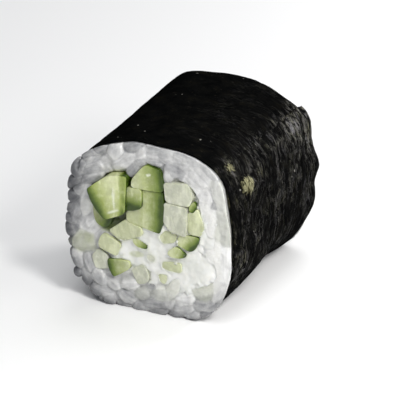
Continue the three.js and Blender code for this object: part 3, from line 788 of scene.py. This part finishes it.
# The other grains that show on the near cut, in rows like those of RIM_GRAINS.
FACE_GRAINS = (
    (-3.2, 29.2, 3.2, 2.0, 18, 0.15), (-1.6, 28.0, 3.8, 2.4, 38, 0.5),
    (0.6, 28.6, 4.4, 3.2, 4, 0.4), (2.8, 28.5, 4.2, 2.8, -8, 0.5),
    (4.1, 26.2, 4.4, 3.0, -12, 0.3), (6.4, 28.1, 5.2, 2.7, -14, 0.42),
    (9.0, 25.9, 5.6, 3.0, -50, 0.55), (10.9, 27.6, 4.6, 2.6, -42, 0.5),
    (12.6, 23.5, 6.0, 3.0, -74, 0.6), (10.0, 22.0, 5.4, 2.9, 82, 0.6),
    (13.0, 17.4, 6.0, 3.0, 90, 0.6), (11.0, 18.0, 5.4, 2.6, 86, 0.7),
    (11.6, 13.0, 5.0, 3.2, 62, 0.85), (13.5, 10.8, 6.0, 2.8, 94, 0.9),
    (10.3, 5.0, 4.6, 3.2, 30, 0.3), (9.8, 2.7, 4.2, 2.6, 12, 0.3),
    (6.2, 3.0, 3.8, 2.6, 20, 0.65), (4.2, 4.9, 4.6, 2.2, 62, 0.55),
    (1.6, 3.2, 4.4, 3.2, 4, 0.45), (-1.6, 2.6, 3.8, 2.8, -20, 0.4),
    (-4.2, 4.2, 4.4, 2.6, 10, 0.7), (-7.4, 3.7, 4.2, 2.9, -25, 0.5),
    (-9.8, 4.5, 4.4, 2.9, -48, 0.45), (-11.6, 6.6, 4.4, 2.7, -70, 0.35),
    (-10.9, 14.6, 4.6, 3.2, 48, 0.7), (-15.0, 14.4, 3.0, 2.2, 80, 0.2),
    (-12.2, 17.0, 4.2, 3.0, 84, 0.8), (-12.0, 19.8, 4.4, 3.0, 66, 0.6),
    (-11.0, 22.4, 5.2, 2.4, 32, 0.35), (-9.8, 27.9, 3.8, 2.6, 26, 0.1),
    (-8.7, 11.6, 4.0, 2.8, 60, 0.55), (-3.1, 25.3, 3.8, 2.4, 48, 0.25),
    (-1.6, 26.9, 3.2, 2.0, 30, 0.3), (0.6, 27.3, 3.4, 1.8, -8, 0.35),
    (3.3, 25.2, 3.4, 1.8, 84, 0.5),
)
GRAIN_AROUND = 18
GRAIN_ALONG = 12
# Grains between the others, behind them, and clear of the filling.
FILLER_GRAINS = 40
FILLER_CLEARANCE = 1.15
# Grains along the edge where the rice swells past the sheet.
SWOLLEN_ARC = (BULGE_SIDE - 96, BULGE_SIDE + 100)
SWOLLEN_STEP = 11.0
SWOLLEN_THICKNESS = 2.7
# Where the rice swells, it is held back softly from this far inside its limit, and gets past that
# place by this much at most.
SOFT_RIM = 0.8
RIM_GIVE = 1.5
# Where rice may lie on the cut, the spacing of its slabs' points before they melt, and after it.
RICE_WIDE = (-18, 18)
RICE_HIGH = (-1, 33)
BED_STEP = 0.3
CORE_STEP = 0.5
BED_VOXEL = 0.19
CORE_VOXEL = 0.45
BED_LEVEL = 17.55
# How far in the bed of grains, the pockets over the sticks and the recess reach.
BED_BACK = 15.0
POCKET_BACK = 9.8
RECESS_BACK = 16.6
# The near rim draws in a little beside its lower right corner, round this direction.
CORNER_TUCK = 0.8
TUCK_ANGLE = -62
# How deep the lines between grains are sunk.
CREASE_DEPTH = 0.5
# How far out the knife leaves the rice, and how much further at its free rim.
KNIFE_LEVEL = 17.95
KNIFE_RISE = 0.6
GRAIN_DENTS = 0.13
# How much further out the rice between the grains lies on the right, where it is pressed tight.
TIGHT_RISE = 0.34
# Grains of the near cut that show whole: x, height and how far off others keep.
WHOLE_GRAINS = ((-13.2, 10.0, 3.4), (-6.5, 27.7, 2.4), (-4.6, 26.3, 2.6), (-1.6, 28.0, 2.0))
# Greenish, half clear grains of the near cut: x, height and strength.
GREEN_GRAINS = {
    (-13.2, 10.0): 1.0, (10.3, 5.0): 0.55, (13.0, 17.4): 0.4, (12.6, 23.5): 0.25,
    (4.2, 4.9): 0.35, (1.6, 3.2): 0.3, (-1.6, 2.6): 0.3, (-12.2, 17.0): 0.15,
}


def seeded(seed):
    """The same short random source as the CAD, so that the grains lie in the same places."""
    state = seed
    while True:
        state = (state * RANDOM_FACTOR + RANDOM_STEP) % RANDOM_RANGE
        yield state / RANDOM_RANGE


def inside_lobe(lobe, x, z):
    """Below 1 inside a soft lobe; z counts from the inside of the sheet."""
    middle_x, middle_z, half_wide, half_high, turn = lobe
    c, s = math.cos(math.radians(turn)), math.sin(math.radians(turn))
    across = ((x - middle_x) * c + (z - middle_z) * s) / half_wide
    upward = ((z - middle_z) * c - (x - middle_x) * s) / half_high
    return across * across + upward * upward


def lobe_reach(lobes, x, z):
    """Below 1 inside any of some soft lobes."""
    return np.min([inside_lobe(lobe, x, z) for lobe in lobes], 0, initial=FAR * FAR)


def grain_spot(angle, radius):
    """The x and z of a grain's middle, with z counted from the inside of the sheet."""
    x = radius * math.cos(math.radians(angle))
    return x, AXIS_HEIGHT + radius * math.sin(math.radians(angle)) - NORI_THICKNESS


def stands_clear(x, z):
    """Whether a place on the near cut is clear of the grains that show whole."""
    return all(math.hypot(x - a, z - b) > reach for a, b, reach in WHOLE_GRAINS)


def spread_grains(taken, draw):
    """Places, directions and whether they lie at the rim, of the grains drawn as in the CAD."""
    placed = []
    spots = [grain[:2] for grain in taken]
    for _ in range(GRAIN_TRIES):
        if len(placed) == GRAINS_PER_CUT:
            break
        angle = next(draw) * 360
        share = math.sqrt(next(draw))
        x, z = grain_spot(angle, share * (float(section_radius(angle)) - GRAIN_INSET))
        buried = lobe_reach(CREAM_LOBES + POCKET_LOBES, x, z) < 1
        crowded = any(math.hypot(x - a, z - b) < GRAIN_SPACING for a, b in spots)
        if not buried and not crowded:
            spots.append((x, z))
            placed.append((x, z, angle, share > RIM_SHARE))
    return placed


def cut_grains(side, draw, rng):
    """Rows of x, y, z, length, thickness, turn, tilt and tone for the grains at one cut."""
    face = RICE_LENGTH / 2
    rows = []
    if side < 0:
        for x, z, length, thick, turn, tone in RIM_GRAINS + FACE_GRAINS:
            rows.append((x, side * (face - thick / 2), z, length, thick, turn,
                         rng.uniform(-6, 6), tone))
    for x, z, angle, rim in spread_grains(RIM_GRAINS if side < 0 else (), draw):
        length = GRAIN_LENGTH * (LEAST_LENGTH + LENGTH_RANGE * next(draw))
        thick = GRAIN_THICKNESS * (LEAST_THICKNESS + THICKNESS_RANGE * next(draw))
        stray = next(draw)
        turn = angle + 90 - RIM_TURN + 2 * RIM_TURN * stray if rim else 180 * stray
        tilt = -GRAIN_TILT + 2 * GRAIN_TILT * next(draw)
        lean = math.radians(tilt)
        reach = math.hypot(length / 2 * math.sin(lean), thick / 2 * math.cos(lean))
        depth = face - reach - GRAIN_SINK * next(draw)
        if side > 0:  # the near cut's grains are drawn but not used, so the far cut's stay put
            rows.append((x, depth, z, length, thick, turn, tilt, rng.uniform(0.2, 0.9)))
    for angle in np.arange(*SWOLLEN_ARC, SWOLLEN_STEP):
        angle = angle + rng.uniform(-3, 3)
        radius = float(section_radius(angle)) - rng.uniform(0.1, 0.9) - 0.6 * (angle < 190)
        x, z = grain_spot(angle, radius)
        turn = angle + 90 + rng.uniform(-40, 40)
        row = (x, side * rng.uniform(16.7, 17.2), z, rng.uniform(4.2, 6), SWOLLEN_THICKNESS, turn,
               0.0, rng.uniform(0.1, 0.4))
        if side > 0 or stands_clear(x, z):
            rows.append(row)
    lobes = CREAM_LOBES + POCKET_LOBES + RECESS_LOBES
    for _ in range(FILLER_GRAINS):
        angle = rng.uniform(0, 360)
        radius = (float(section_radius(angle)) - GRAIN_INSET) * rng.uniform(0.62, 1.0)
        x, z = grain_spot(angle, radius)
        if lobe_reach(lobes, x, z) > FILLER_CLEARANCE and (side > 0 or stands_clear(x, z)):
            thick = rng.uniform(2.3, 3.0)
            depth = face - thick / 2 - rng.uniform(0.75, 1.1)
            rows.append((x, side * depth, z, rng.uniform(4.8, 6.6), thick,
                         rng.uniform(0, 180), rng.uniform(-20, 20), rng.uniform(0.2, 0.7)))
    return rows


def grain_points(length, thick, rng):
    """A blunt, slightly bent and dented grain along X, round its own middle."""
    points = []
    bend = rng.uniform(-0.12, 0.12) * thick
    taper = rng.uniform(-0.12, 0.12)
    flat = rng.uniform(0.82, 1.0)
    for i in range(GRAIN_ALONG + 1):
        along = -math.cos(math.pi * i / GRAIN_ALONG)
        girth = math.sqrt(max(0.0, 1 - along * along)) ** 0.75 * (1 + taper * along)
        for j in range(GRAIN_AROUND):
            turn = 2 * math.pi * j / GRAIN_AROUND
            points.append((
                along * length / 2,
                girth * thick / 2 * math.cos(turn) * flat + bend * (1 - along * along),
                girth * thick / 2 * math.sin(turn),
            ))
    points = np.array(points)
    dents = fractal(points, 0.45, 2, rng.uniform(0, 90))
    return points * (1 + GRAIN_DENTS * dents)[:, None]


def press_inside(points):
    """Presses rice against the inside of the sheet, and lets it swell past the sheet's edge."""
    x, y, z = points.T
    angle, radius = polar(x, z)
    swollen = bulge_share(angle)
    swell = RICE_GAP + np.where(y < 0, NEAR_BULGE, FAR_BULGE) * swollen
    swell += CORNER_BULGE * corner_share(angle) * (y < 0)
    swell -= CORNER_TUCK * facing_share(angle, TUCK_ANGLE, 4, 24) * (y < 0)
    edge = NORI_LENGTH / 2 - EDGE_RETREAT * swollen
    past_edge = smoothstep(np.abs(y), edge - 0.1, edge + 0.3)
    depth = NORI_THICKNESS + RICE_GAP - swell * past_edge
    limit = section_radius(angle) + dent_rise(angle, y) - depth
    over = np.maximum(radius - limit + SOFT_RIM, 0)
    loose = np.where(over > 0, limit - SOFT_RIM + RIM_GIVE * np.tanh(over / RIM_GIVE), radius)
    kept = np.minimum(radius, limit)
    kept += (loose - kept) * past_edge * swollen
    x, z = on_cut(angle, kept)
    return np.stack([x, y, np.maximum(z, np.maximum(depth, 0.02))], -1)


def turn_matrix(turn, tilt):
    """Turns a grain along X to its place on the cut, then leans it out of the cut."""
    lean = Matrix.Rotation(math.radians(tilt), 3, "Z")
    swing = Matrix.Rotation(-math.radians(turn), 3, "Y")
    return np.array(swing @ lean)


def tightness(x, z):
    """1 on the right, where the rice is pressed to one smooth body, 0 on the loose left."""
    return smoothstep(x + 0.35 * (z - AXIS_HEIGHT), 2, 10)


def rice_slab(step, low, high, holes, side=0, filled=()):
    """A slab of rice across the roll between two heights of y, with the filling's room cut out."""
    x, z = cut_grid(RICE_WIDE, RICE_HIGH, step)
    angle, radius = polar(x, z)
    inside = radius < section_radius(angle) + 0.5 + 0.6 * bulge_share(angle)
    inside &= lobe_reach(holes, x, z - NORI_THICKNESS) > 1
    inside |= lobe_reach(filled, x, z - NORI_THICKNESS) < 1
    waves = 0.12 * fractal(np.stack([x, z, np.zeros(x.shape)], -1), 0.3, 3, 1.7)
    rise = TIGHT_RISE * tightness(x, z)
    low, high = low - rise * (side < 0), high + rise * (side > 0)
    points, faces = height_slab(x, z, inside, low + waves, high + waves)
    return press_inside(points), faces


def make_rice_bed(side, draw, rng, material):
    """The grains at one cut, melted a little into each other and into the rice behind them."""
    low, high = sorted((side * BED_LEVEL, side * BED_BACK))
    holes = CREAM_CORES + POCKET_LOBES
    bodies = [rice_slab(BED_STEP, low, high, holes + RECESS_LOBES, side)]
    if side < 0:
        bodies.append(rice_slab(BED_STEP, -RECESS_BACK, -BED_BACK, holes, filled=RECESS_LOBES))
    template = ring_faces(GRAIN_ALONG + 1, GRAIN_AROUND)
    grains = []
    for x, y, z, length, thick, turn, tilt, tone in cut_grains(side, draw, rng):
        grain = grain_points(length, thick, rng) @ turn_matrix(turn, tilt).T
        bodies.append((press_inside(grain + [x, y, z + NORI_THICKNESS]), template))
        grains.append((x, z + NORI_THICKNESS, math.radians(turn), length, thick, abs(y), tone,
                       GREEN_GRAINS.get((x, z), 0)))
    points, faces = melt(*join_bodies(bodies), BED_VOXEL, 4)
    points = knife_cut(press_inside(points), side)
    edges = edge_list(faces)
    grains = np.array(grains)
    owner = outermost_grain(points, grains)
    met = np.zeros(len(points))
    met[edges[owner[edges[:, 0]] != owner[edges[:, 1]]]] = 1
    points = crease(points, met, edges, side)
    name = "rice_near" if side < 0 else "rice_far"
    piece = new_piece(name, points, faces, material)
    middle_x, middle_z, turn, _, _, _, tone, green = grains[owner].T
    dx, dz = points[:, 0] - middle_x, points[:, 2] - middle_z
    along = dx * np.cos(turn) + dz * np.sin(turn)
    across = dz * np.cos(turn) - dx * np.sin(turn)
    normals = np.array([v.normal for v in piece.data.vertices])
    # How far each point stands out, for painted shade in the creases and painted highlight on the
    # ridges.
    bulge = ((points - neighbour_mean(points, edges, 8)) * normals).sum(1)
    add_values(
        piece,
        grain=np.stack([along, across, 3.0 * owner], -1),
        tone=neighbour_mean(tone, edges, 1),
        border=grain_border(points, met, edges),
        # values above 1 carry the painted shadow of the recess
        green=np.maximum(neighbour_mean(green, edges, 6), in_recess(points)),
        bulge=neighbour_mean(bulge, edges, 2),
        milky=milkiness(points),
        dusk=edge_dusk(points),
    )
    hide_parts("rice")


def outermost_grain(points, table):
    """For each point, the number of the grain that stands out furthest over it."""
    best = np.full(len(points), -99.0)
    owner = np.zeros(len(points), int)
    for number, (x, z, turn, length, thick, reach, _, _) in enumerate(table):
        dx, dz = points[:, 0] - x, points[:, 2] - z
        along = (dx * math.cos(turn) + dz * math.sin(turn)) / (length / 2)
        across = (dz * math.cos(turn) - dx * math.sin(turn)) / (thick / 2)
        height = reach + thick / 2 * (1 - along * along - across * across)
        higher = height > best
        best[higher] = height[higher]
        owner[higher] = number
    return owner


def crease(points, met, edges, side):
    """Sinks the lines where grains meet, so that each grain stands out where they lie loose."""
    x, y, z = points.T
    angle, radius = polar(x, z)
    at_rim = fade(section_radius(angle) - radius, -0.3, 1.1)
    uneven = np.clip(0.35 + 1.3 * fractal(points, 0.25, 2, 5.1), 0, 1)
    depth = CREASE_DEPTH * neighbour_mean(met, edges, 2) * (0.05 + 0.3 * uneven + 0.5 * at_rim)
    depth *= 1 - 0.85 * tightness(x, z)
    depth *= np.abs(y) > BED_BACK + 1
    sideways = smoothstep(radius, 12, 15.5) / np.maximum(radius, 1)
    inward = [x * sideways, np.full(len(x), side), (z - AXIS_HEIGHT) * sideways]
    return points - depth[:, None] * np.stack(inward, -1)


def grain_border(points, met, edges):
    """Painted shade in lines where two grains meet, with a band of painted highlight inside each;
    faint where tight.
    """
    narrow, wide = neighbour_mean(met, edges, 1), neighbour_mean(met, edges, 8)
    loose = 1 - 0.75 * tightness(points[:, 0], points[:, 2])
    return loose * (0.45 * wide - 0.14 * narrow)


def in_recess(points):
    """2 in the recess under the first stick, where its shadow is painted dark green, falling to 0
    round it.
    """
    x, y, z = points.T
    reach = lobe_reach(RECESS_LOBES, x, z - NORI_THICKNESS)
    return 2 * fade(reach, 1.2, 2.2) * (y < 0)


# How wide the painted shade along the outer edge is, and where it is wider or narrower: angle,
# spread in degrees, millimetres more.
DUSK_WIDTH = 1.9
DUSK_PLACES = ((148, 11, 3.6), (172, 8, 1.2), (201, 10, -1.8), (281, 8, 2.8), (298, 8, -1.2),
               (318, 8, 1.2))


def edge_dusk(points):
    """Painted shade, 1 along the outer edge on the loose side, where the rice turns away from the
    light and is clear.
    """
    x, y, z = points.T
    angle, radius = polar(x, z)
    stray = 0.5 * fractal(points, 0.35, 2, 8.8)
    wide = np.full(len(points), DUSK_WIDTH)
    for middle, spread, more in DUSK_PLACES:
        wide += more * np.exp(-(turned(angle, middle) / spread) ** 2)
    loose = np.maximum(bulge_share(angle), 0.8 * corner_share(angle) * (y < 0))
    rim = section_radius(angle) - radius
    return 0.95 * loose * fade((rim + stray) / wide, -0.25, 1)


def knife_cut(points, side):
    """Cuts the grains nearly level inside the rim, and lower beside the sticks and the cream."""
    x, z = points[:, 0], points[:, 2]
    reach = np.abs(points[:, 1])
    angle, radius = polar(x, z)
    rim = section_radius(angle) - radius
    swollen = np.maximum(bulge_share(angle), corner_share(angle) * (side < 0))
    at_rim = fade(rim, 0.2, 1.4)
    free = fade(rim, 0.8, 3.0) * swollen
    gap, end = round_sticks(x, z, side)
    smeared = smoothstep(cream_share(x, z), 0.2, 1.0)
    level = KNIFE_LEVEL + KNIFE_RISE * free - 0.15 * smeared - 0.25 * at_rim * (1 - swollen)
    level = np.minimum(level, end - 0.4 + 0.8 * smoothstep(gap, -0.2, 0.6))
    loose = 1 - tightness(x, z)
    kept = 0.3 + 0.2 * free + 0.2 * loose - 0.15 * np.maximum(smeared, 1 - loose)
    points[:, 1] = side * np.where(reach > level, level + kept * (reach - level), reach)
    rough = fractal(points, 0.9, 3, 4.4)
    points[:, 1] += side * 0.09 * rough * (reach > BED_BACK + 1)
    return points


def cream_share(x, z):
    """1 inside the cream's lobes, falling to 0 about two millimetres into the rice."""
    return fade(-lobe_depth(x, z), 0.0, 2.4)


def milkiness(points):
    """Rice is whitest where the cream has mixed into it, whiter on the right also as painted light,
    and clearer by the nori.
    """
    x, _, z = points.T
    angle, radius = polar(x, z)
    # Painted light: the rice is made whiter towards the right, where the light falls, besides the
    # cream mixed in.
    right = smoothstep(x + 0.1 * (z - AXIS_HEIGHT), 4, 12) * (0.45 + 0.55 * smoothstep(z, 4, 9))
    mixed = np.maximum(0.2 + 0.55 * right, cream_share(x, z))
    return mixed * (0.25 + 0.75 * smoothstep(section_radius(angle) - radius, 0.0, 2.6))


def make_rice_core(material):
    """The pressed rice between the two beds, open where the filling lies loose near each cut."""
    holes = CREAM_CORES + POCKET_LOBES
    bodies = [
        rice_slab(CORE_STEP, -POCKET_BACK, POCKET_BACK, ()),
        rice_slab(CORE_STEP, -BED_BACK - 0.3, -POCKET_BACK + 0.5, holes),
        rice_slab(CORE_STEP, POCKET_BACK - 0.5, BED_BACK + 0.3, holes + RECESS_LOBES),
    ]
    points, faces = melt(*join_bodies(bodies), CORE_VOXEL, 3)
    points = press_inside(points)
    piece = new_piece("rice_core", points, faces, material)
    add_values(piece, tone=0.5, milky=0.3, bulge=0, border=0, dusk=0, green=in_recess(points),
               grain=points)
    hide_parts("rice")


# ---------------- cream cheese

# Where the cream may lie on the cut, and the spacing of its points.
CREAM_WIDE = (-11, 15)
CREAM_HIGH = (1.2, 22.5)
CREAM_STEP = 0.2
# How far out the cream lies at a cut, and how far its plain core reaches.
CREAM_LEVEL = 17.75
CREAM_CORE = 15.5
# How far it spreads over the rice.
CREAM_SPREAD = 2.2
# A faint green smear of juice: x, height, half sizes and turn in degrees.
JUICE_SMEAR = (-2.6, 10.2, 1.7, 0.6, 8)


def lobe_depth(x, z):
    """How many millimetres inside the soft outline of the lobes a place is."""
    depth = np.full(x.shape, -FAR)
    for lobe in CREAM_LOBES:
        reach = 1 - np.sqrt(inside_lobe(lobe, x, z - NORI_THICKNESS))
        depth = np.maximum(depth, reach * min(lobe[2], lobe[3]))
    return depth


def cream_face(x, z, side):
    """How far out the cream stands at one cut: lumps, risen between the sticks, thin over them."""
    places = np.stack([x, z, np.full(x.shape, 5.0 * side)], -1)
    lumps, curls = fractal(places, 0.4, 3, 6.3), fractal(places, 1.3, 3, 2.2)
    smears = fractal(places * [0.8, 1.5, 1], 0.6, 3, 9.1)
    wisps = fractal(places, 0.6, 2, 12.4) + 0.7 * fractal(places, 1.5, 3, 3.3)
    gap, end = round_sticks(x, z, side)
    level = CREAM_LEVEL + 0.22 * lumps + 0.06 * curls
    level += 0.24 * np.exp(-(gap / 0.5) ** 2)
    level -= 1.4 * smoothstep(-gap, -0.05, 0.4)
    smeared = smoothstep(smears, 0.2, 0.45) * smoothstep(gap, -0.9, -0.2)
    level = np.where(gap < 0.2, np.maximum(level, (end + 0.05) * smeared), level)
    fading = fade(lobe_depth(x, z) + 1.5 * wisps, -CREAM_SPREAD, 0.8)
    return level - fading * (0.85 + 0.5 * smears)


def make_cream(material):
    """A core through the roll and, at each cut, a wider cap that runs out over the rice."""
    x, z = cut_grid(CREAM_WIDE, CREAM_HIGH, CREAM_STEP)
    angle, radius = polar(x, z)
    depth = lobe_depth(x, z)
    deepest = np.zeros(x.shape)
    for y in np.arange(-CREAM_CORE, CREAM_CORE + 1, 2):
        deepest = np.minimum(deepest, dent_rise(angle, y))
    core = (depth > 0.3) & (section_radius(angle) + deepest - radius > 1.2)
    bodies = [height_slab(x, z, core, -CREAM_CORE, CREAM_CORE)]
    for side in (-1, 1):
        room = section_radius(angle) + dent_rise(angle, side * CREAM_CORE) - radius
        cap = (depth > -CREAM_SPREAD) & (room > 1.3)
        cap &= lobe_reach(RECESS_LOBES, x, z - NORI_THICKNESS) > 1
        face = cream_face(x, z, side)
        low, high = (-face, -CREAM_CORE + 0.5) if side < 0 else (CREAM_CORE - 0.5, face)
        bodies.append(height_slab(x, z, cap, low, high))
    points, faces = join_bodies(bodies)
    piece = new_piece("cream_cheese_soft", points, faces, material)
    gap, _ = round_sticks(points[:, 0], points[:, 2], -1)
    smear = inside_lobe(JUICE_SMEAR, points[:, 0], points[:, 2])
    add_values(piece, juice=np.maximum(0.45 * np.exp(-(gap / 0.35) ** 2),
                                       0.6 * fade(smear, 0.3, 1.2)))
    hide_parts("cream_cheese")


# ---------------- cucumber

# Direction in degrees that the skin faces on the cut, for the sticks that show it.
SKIN_SIDES = {1: 210, 2: 268, 3: 10, 4: -4, 7: -37, 9: 330, 12: 200, 15: 315, 16: 319, 17: 340}
# Looks of the sticks that are not green.
STICK_LOOKS = {1: "bright", **dict.fromkeys((5, 6, 13, 14, 21), "pale"),
               **dict.fromkeys((8, 10, 11, 18, 19, 20), "soft")}
# Colours of each look: near the skin, in the flesh and in the heart.
FLESH_TONES = {
    "bright": ((0.33, 0.39, 0.11), (0.53, 0.58, 0.28), (0.64, 0.67, 0.42)),
    "green": ((0.24, 0.3, 0.08), (0.42, 0.465, 0.21), (0.51, 0.54, 0.34)),
    "soft": ((0.38, 0.42, 0.18), (0.5, 0.53, 0.33), (0.58, 0.6, 0.41)),
    "pale": ((0.46, 0.49, 0.34), (0.5, 0.515, 0.41), (0.61, 0.62, 0.51)),
}
# Painted highlights, as wet streaks on the near ends: stick, x, height, half sizes and turn in
# degrees.
WET_STREAKS = (
    (1, -6.1, 20.3, 0.22, 2.2, 2),
    (1, -6.2, 17.9, 1.2, 0.2, 22),
    (3, 0.1, 25.3, 0.5, 0.25, 15),
    (2, -4.2, 21.8, 0.5, 0.2, 10),
)
# How much further in the skin's colour runs on some sticks.
DARK_STICKS = {2: 1.0, 3: 0.1, 4: 0.3, 9: 0.3, 16: 0.3}
# How deep the flesh of a stick without skin counts.
NO_SKIN_DEPTH = 3.2
SKIN_SHIFT = 0.3
# A stick less than this across pales faster.
SKIN_FADE = 5.5
# A stick painted darker green over its inner, right side, as shade.
DUSKY_STICK = 1
# How much thicker a stick is than its solid, and how far out it ends at least.
STICK_GROWTH = 0.12
FLUSH_END = 17.95
# Rings of points from the middle of a stick's end outwards, and on along its side: how far each
# lies inwards of the end, and its share of the outline.
END_RINGS = (
    *((0.0, share) for share in np.linspace(0.04, 0.9, 11)),
    *((0.0, 0.96), (0.015, 0.985), (0.05, 1.0)),
    *((inward, 1.0) for inward in (0.12, 0.3, 0.6, 1.2, 2.2, 4.0, 8.0, 14.0)),
)


def skin_depth(points, number):
    """How far under its skin each point of a stick is."""
    if number not in SKIN_SIDES:
        return np.full(len(points), NO_SKIN_DEPTH)
    skin = math.radians(SKIN_SIDES[number])
    reach = points[:, [0, 2]] @ [math.cos(skin), math.sin(skin)]
    quickening = np.clip(SKIN_FADE / np.ptp(reach), 1, 2)
    depth = np.minimum(quickening * (reach.max() - reach), DEEPEST_FLESH)
    if number == DUSKY_STICK:
        # painted shade over the stick's right part
        depth = depth - 3.5 * smoothstep(points[:, 0], -6.2, -4.4)
    return depth - (SKIN_SHIFT + DARK_STICKS.get(number, 0.0))


def make_stick(number, materials):
    node = f"cucumber_{number:02d}"
    outline, near, far = STICKS[number]
    near, far = min(near, -FLUSH_END), max(far, FLUSH_END)
    outline = resample(outline, FINE_STEP)
    outline = 0.5 * outline + 0.25 * (np.roll(outline, 1, 0) + np.roll(outline, -1, 0))
    middle = outline.mean(0)
    outward = outline - middle
    outline = outline + STICK_GROWTH * outward / np.linalg.norm(outward, axis=1)[:, None]
    rings = [(near + inward, share) for inward, share in END_RINGS]
    rings += [(far - inward, share) for inward, share in reversed(END_RINGS)]
    count = len(outline)
    points = []
    for y, share in rings:
        ring = middle + (outline - middle) * share
        points.append(np.stack([ring[:, 0], np.full(count, y), ring[:, 1]], -1))
    points = np.concatenate(points)
    walls = (points[:, 1] > near + 0.1) & (points[:, 1] < far - 0.1)
    # Painted shade: the side walls are coloured deeper and darker green than the ends.
    depth = skin_depth(points, number) - (1.1 if number in SKIN_SIDES else 0.2) * walls
    rough = fractal(points, 0.6, 3, number * 3.7)
    ends = (points[:, 1] < near + 0.3) | (points[:, 1] > far - 0.3)
    lean = 0.05 * (points[:, 0] - middle[0]) * (1 if number % 2 else -1)
    points[:, 1] += np.where(ends, 0.07 * rough + lean, 0.0)
    outward = points[:, [0, 2]] - middle
    points[:, [0, 2]] += outward * (0.012 * rough)[:, None]
    faces = ring_faces(len(rings), count)
    last = (len(rings) - 1) * count
    faces += [tuple(range(count)), tuple(range(last, last + count))]
    material = materials[STICK_LOOKS.get(number, "green")]
    piece = new_piece(f"stick_{number:02d}", points, faces, material)
    wet = np.zeros(len(points))
    for owner, *streak in WET_STREAKS:
        if owner == number:
            reach = inside_lobe(streak, points[:, 0], points[:, 2])
            wet = np.maximum(wet, fade(reach, 0.1, 1.3) * (points[:, 1] < near + 0.2))
    add_values(piece, skin_depth=depth, wet=wet)
    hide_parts(node)


# ---------------- stage


def direction(azimuth, elevation):
    """From the roll, at degrees from the front towards the right and above the floor."""
    a, e = math.radians(azimuth), math.radians(elevation)
    return Vector((math.sin(a) * math.cos(e), -math.cos(a) * math.cos(e), math.sin(e)))


def make_floor():
    s = Shader("floor")
    s.set(Base_Color=(0.96, 0.96, 0.96), Roughness=0.9, Specular_IOR_Level=0.1)
    bpy.ops.mesh.primitive_plane_add(size=8)
    floor = bpy.context.object
    floor.name = "floor"
    floor.data.materials.append(s.material)


# Name, azimuth from the front towards the right, elevation, distance, size in mm, power, colour.
LIGHTS = (
    ("key", 52, 38, 130, 36, 0.12, (1.0, 0.99, 0.97)),
    ("rim", 150, 14, 300, 80, 0.6, (1.0, 0.99, 0.98)),
    ("above", 15, 60, 900, 700, 2.45, (1.0, 1.0, 1.0)),
    ("behind", 185, 58, 900, 700, 2.6, (1.0, 1.0, 1.0)),
)
WORLD_STRENGTH = 0.17
LIGHT_AIM = Vector((0, -0.01, 0.015))


def area_light(name, azimuth, elevation, distance, size, power, colour):
    data = bpy.data.lights.new(name, "AREA")
    data.shape = "DISK"
    data.size = size * MM
    data.energy = power
    data.color = colour
    light = new_object(name, data)
    towards = direction(azimuth, elevation)
    light.location = LIGHT_AIM + towards * distance * MM
    light.rotation_mode = "QUATERNION"
    light.rotation_quaternion = towards.to_track_quat("Z", "Y")


def make_lights():
    for light in LIGHTS:
        area_light(*light)
    world = bpy.data.worlds.new("world")
    world.use_nodes = True
    background = world.node_tree.nodes["Background"]
    background.inputs["Color"].default_value = (0.9, 0.94, 1.0, 1)
    background.inputs["Strength"].default_value = WORLD_STRENGTH
    bpy.context.scene.world = world
    bpy.context.scene.view_settings.view_transform = "Standard"


CAMERA_AZIMUTH = 25
CAMERA_ELEVATION = 23
CAMERA_DISTANCE = 480
CAMERA_LENS = 247.4
SENSOR_WIDTH = 36
AIM = (0, 0, 14.7)
AIM_RIGHT = 1.256
AIM_UP = -1.41


def make_camera():
    back = direction(CAMERA_AZIMUTH, CAMERA_ELEVATION)
    turn = math.radians(CAMERA_AZIMUTH)
    right = Vector((math.cos(turn), math.sin(turn), 0))
    up = back.cross(right)
    data = bpy.data.cameras.new("camera")
    data.lens = CAMERA_LENS
    data.sensor_width = SENSOR_WIDTH
    data.clip_start = 0.01
    camera = new_object("camera", data)
    place = Vector(AIM) + back * CAMERA_DISTANCE + right * AIM_RIGHT + up * AIM_UP
    axes = Matrix((right, up, back)).transposed().to_4x4()
    camera.matrix_world = Matrix.Translation(place * MM) @ axes
    bpy.context.scene.camera = camera


make_camera()
make_nori(nori_material())
rice = rice_material()
draws = seeded(GRAIN_SEED)
chances = np.random.default_rng(GRAIN_SEED)
make_rice_bed(-1, draws, chances, rice)
make_rice_bed(1, draws, chances, rice)
make_rice_core(rice)
make_cream(cream_material())
cucumber = {look: cucumber_material(f"cucumber_{look}", *FLESH_TONES[look]) for look in FLESH_TONES}
for stick in STICKS:
    make_stick(stick, cucumber)
make_floor()
make_lights()
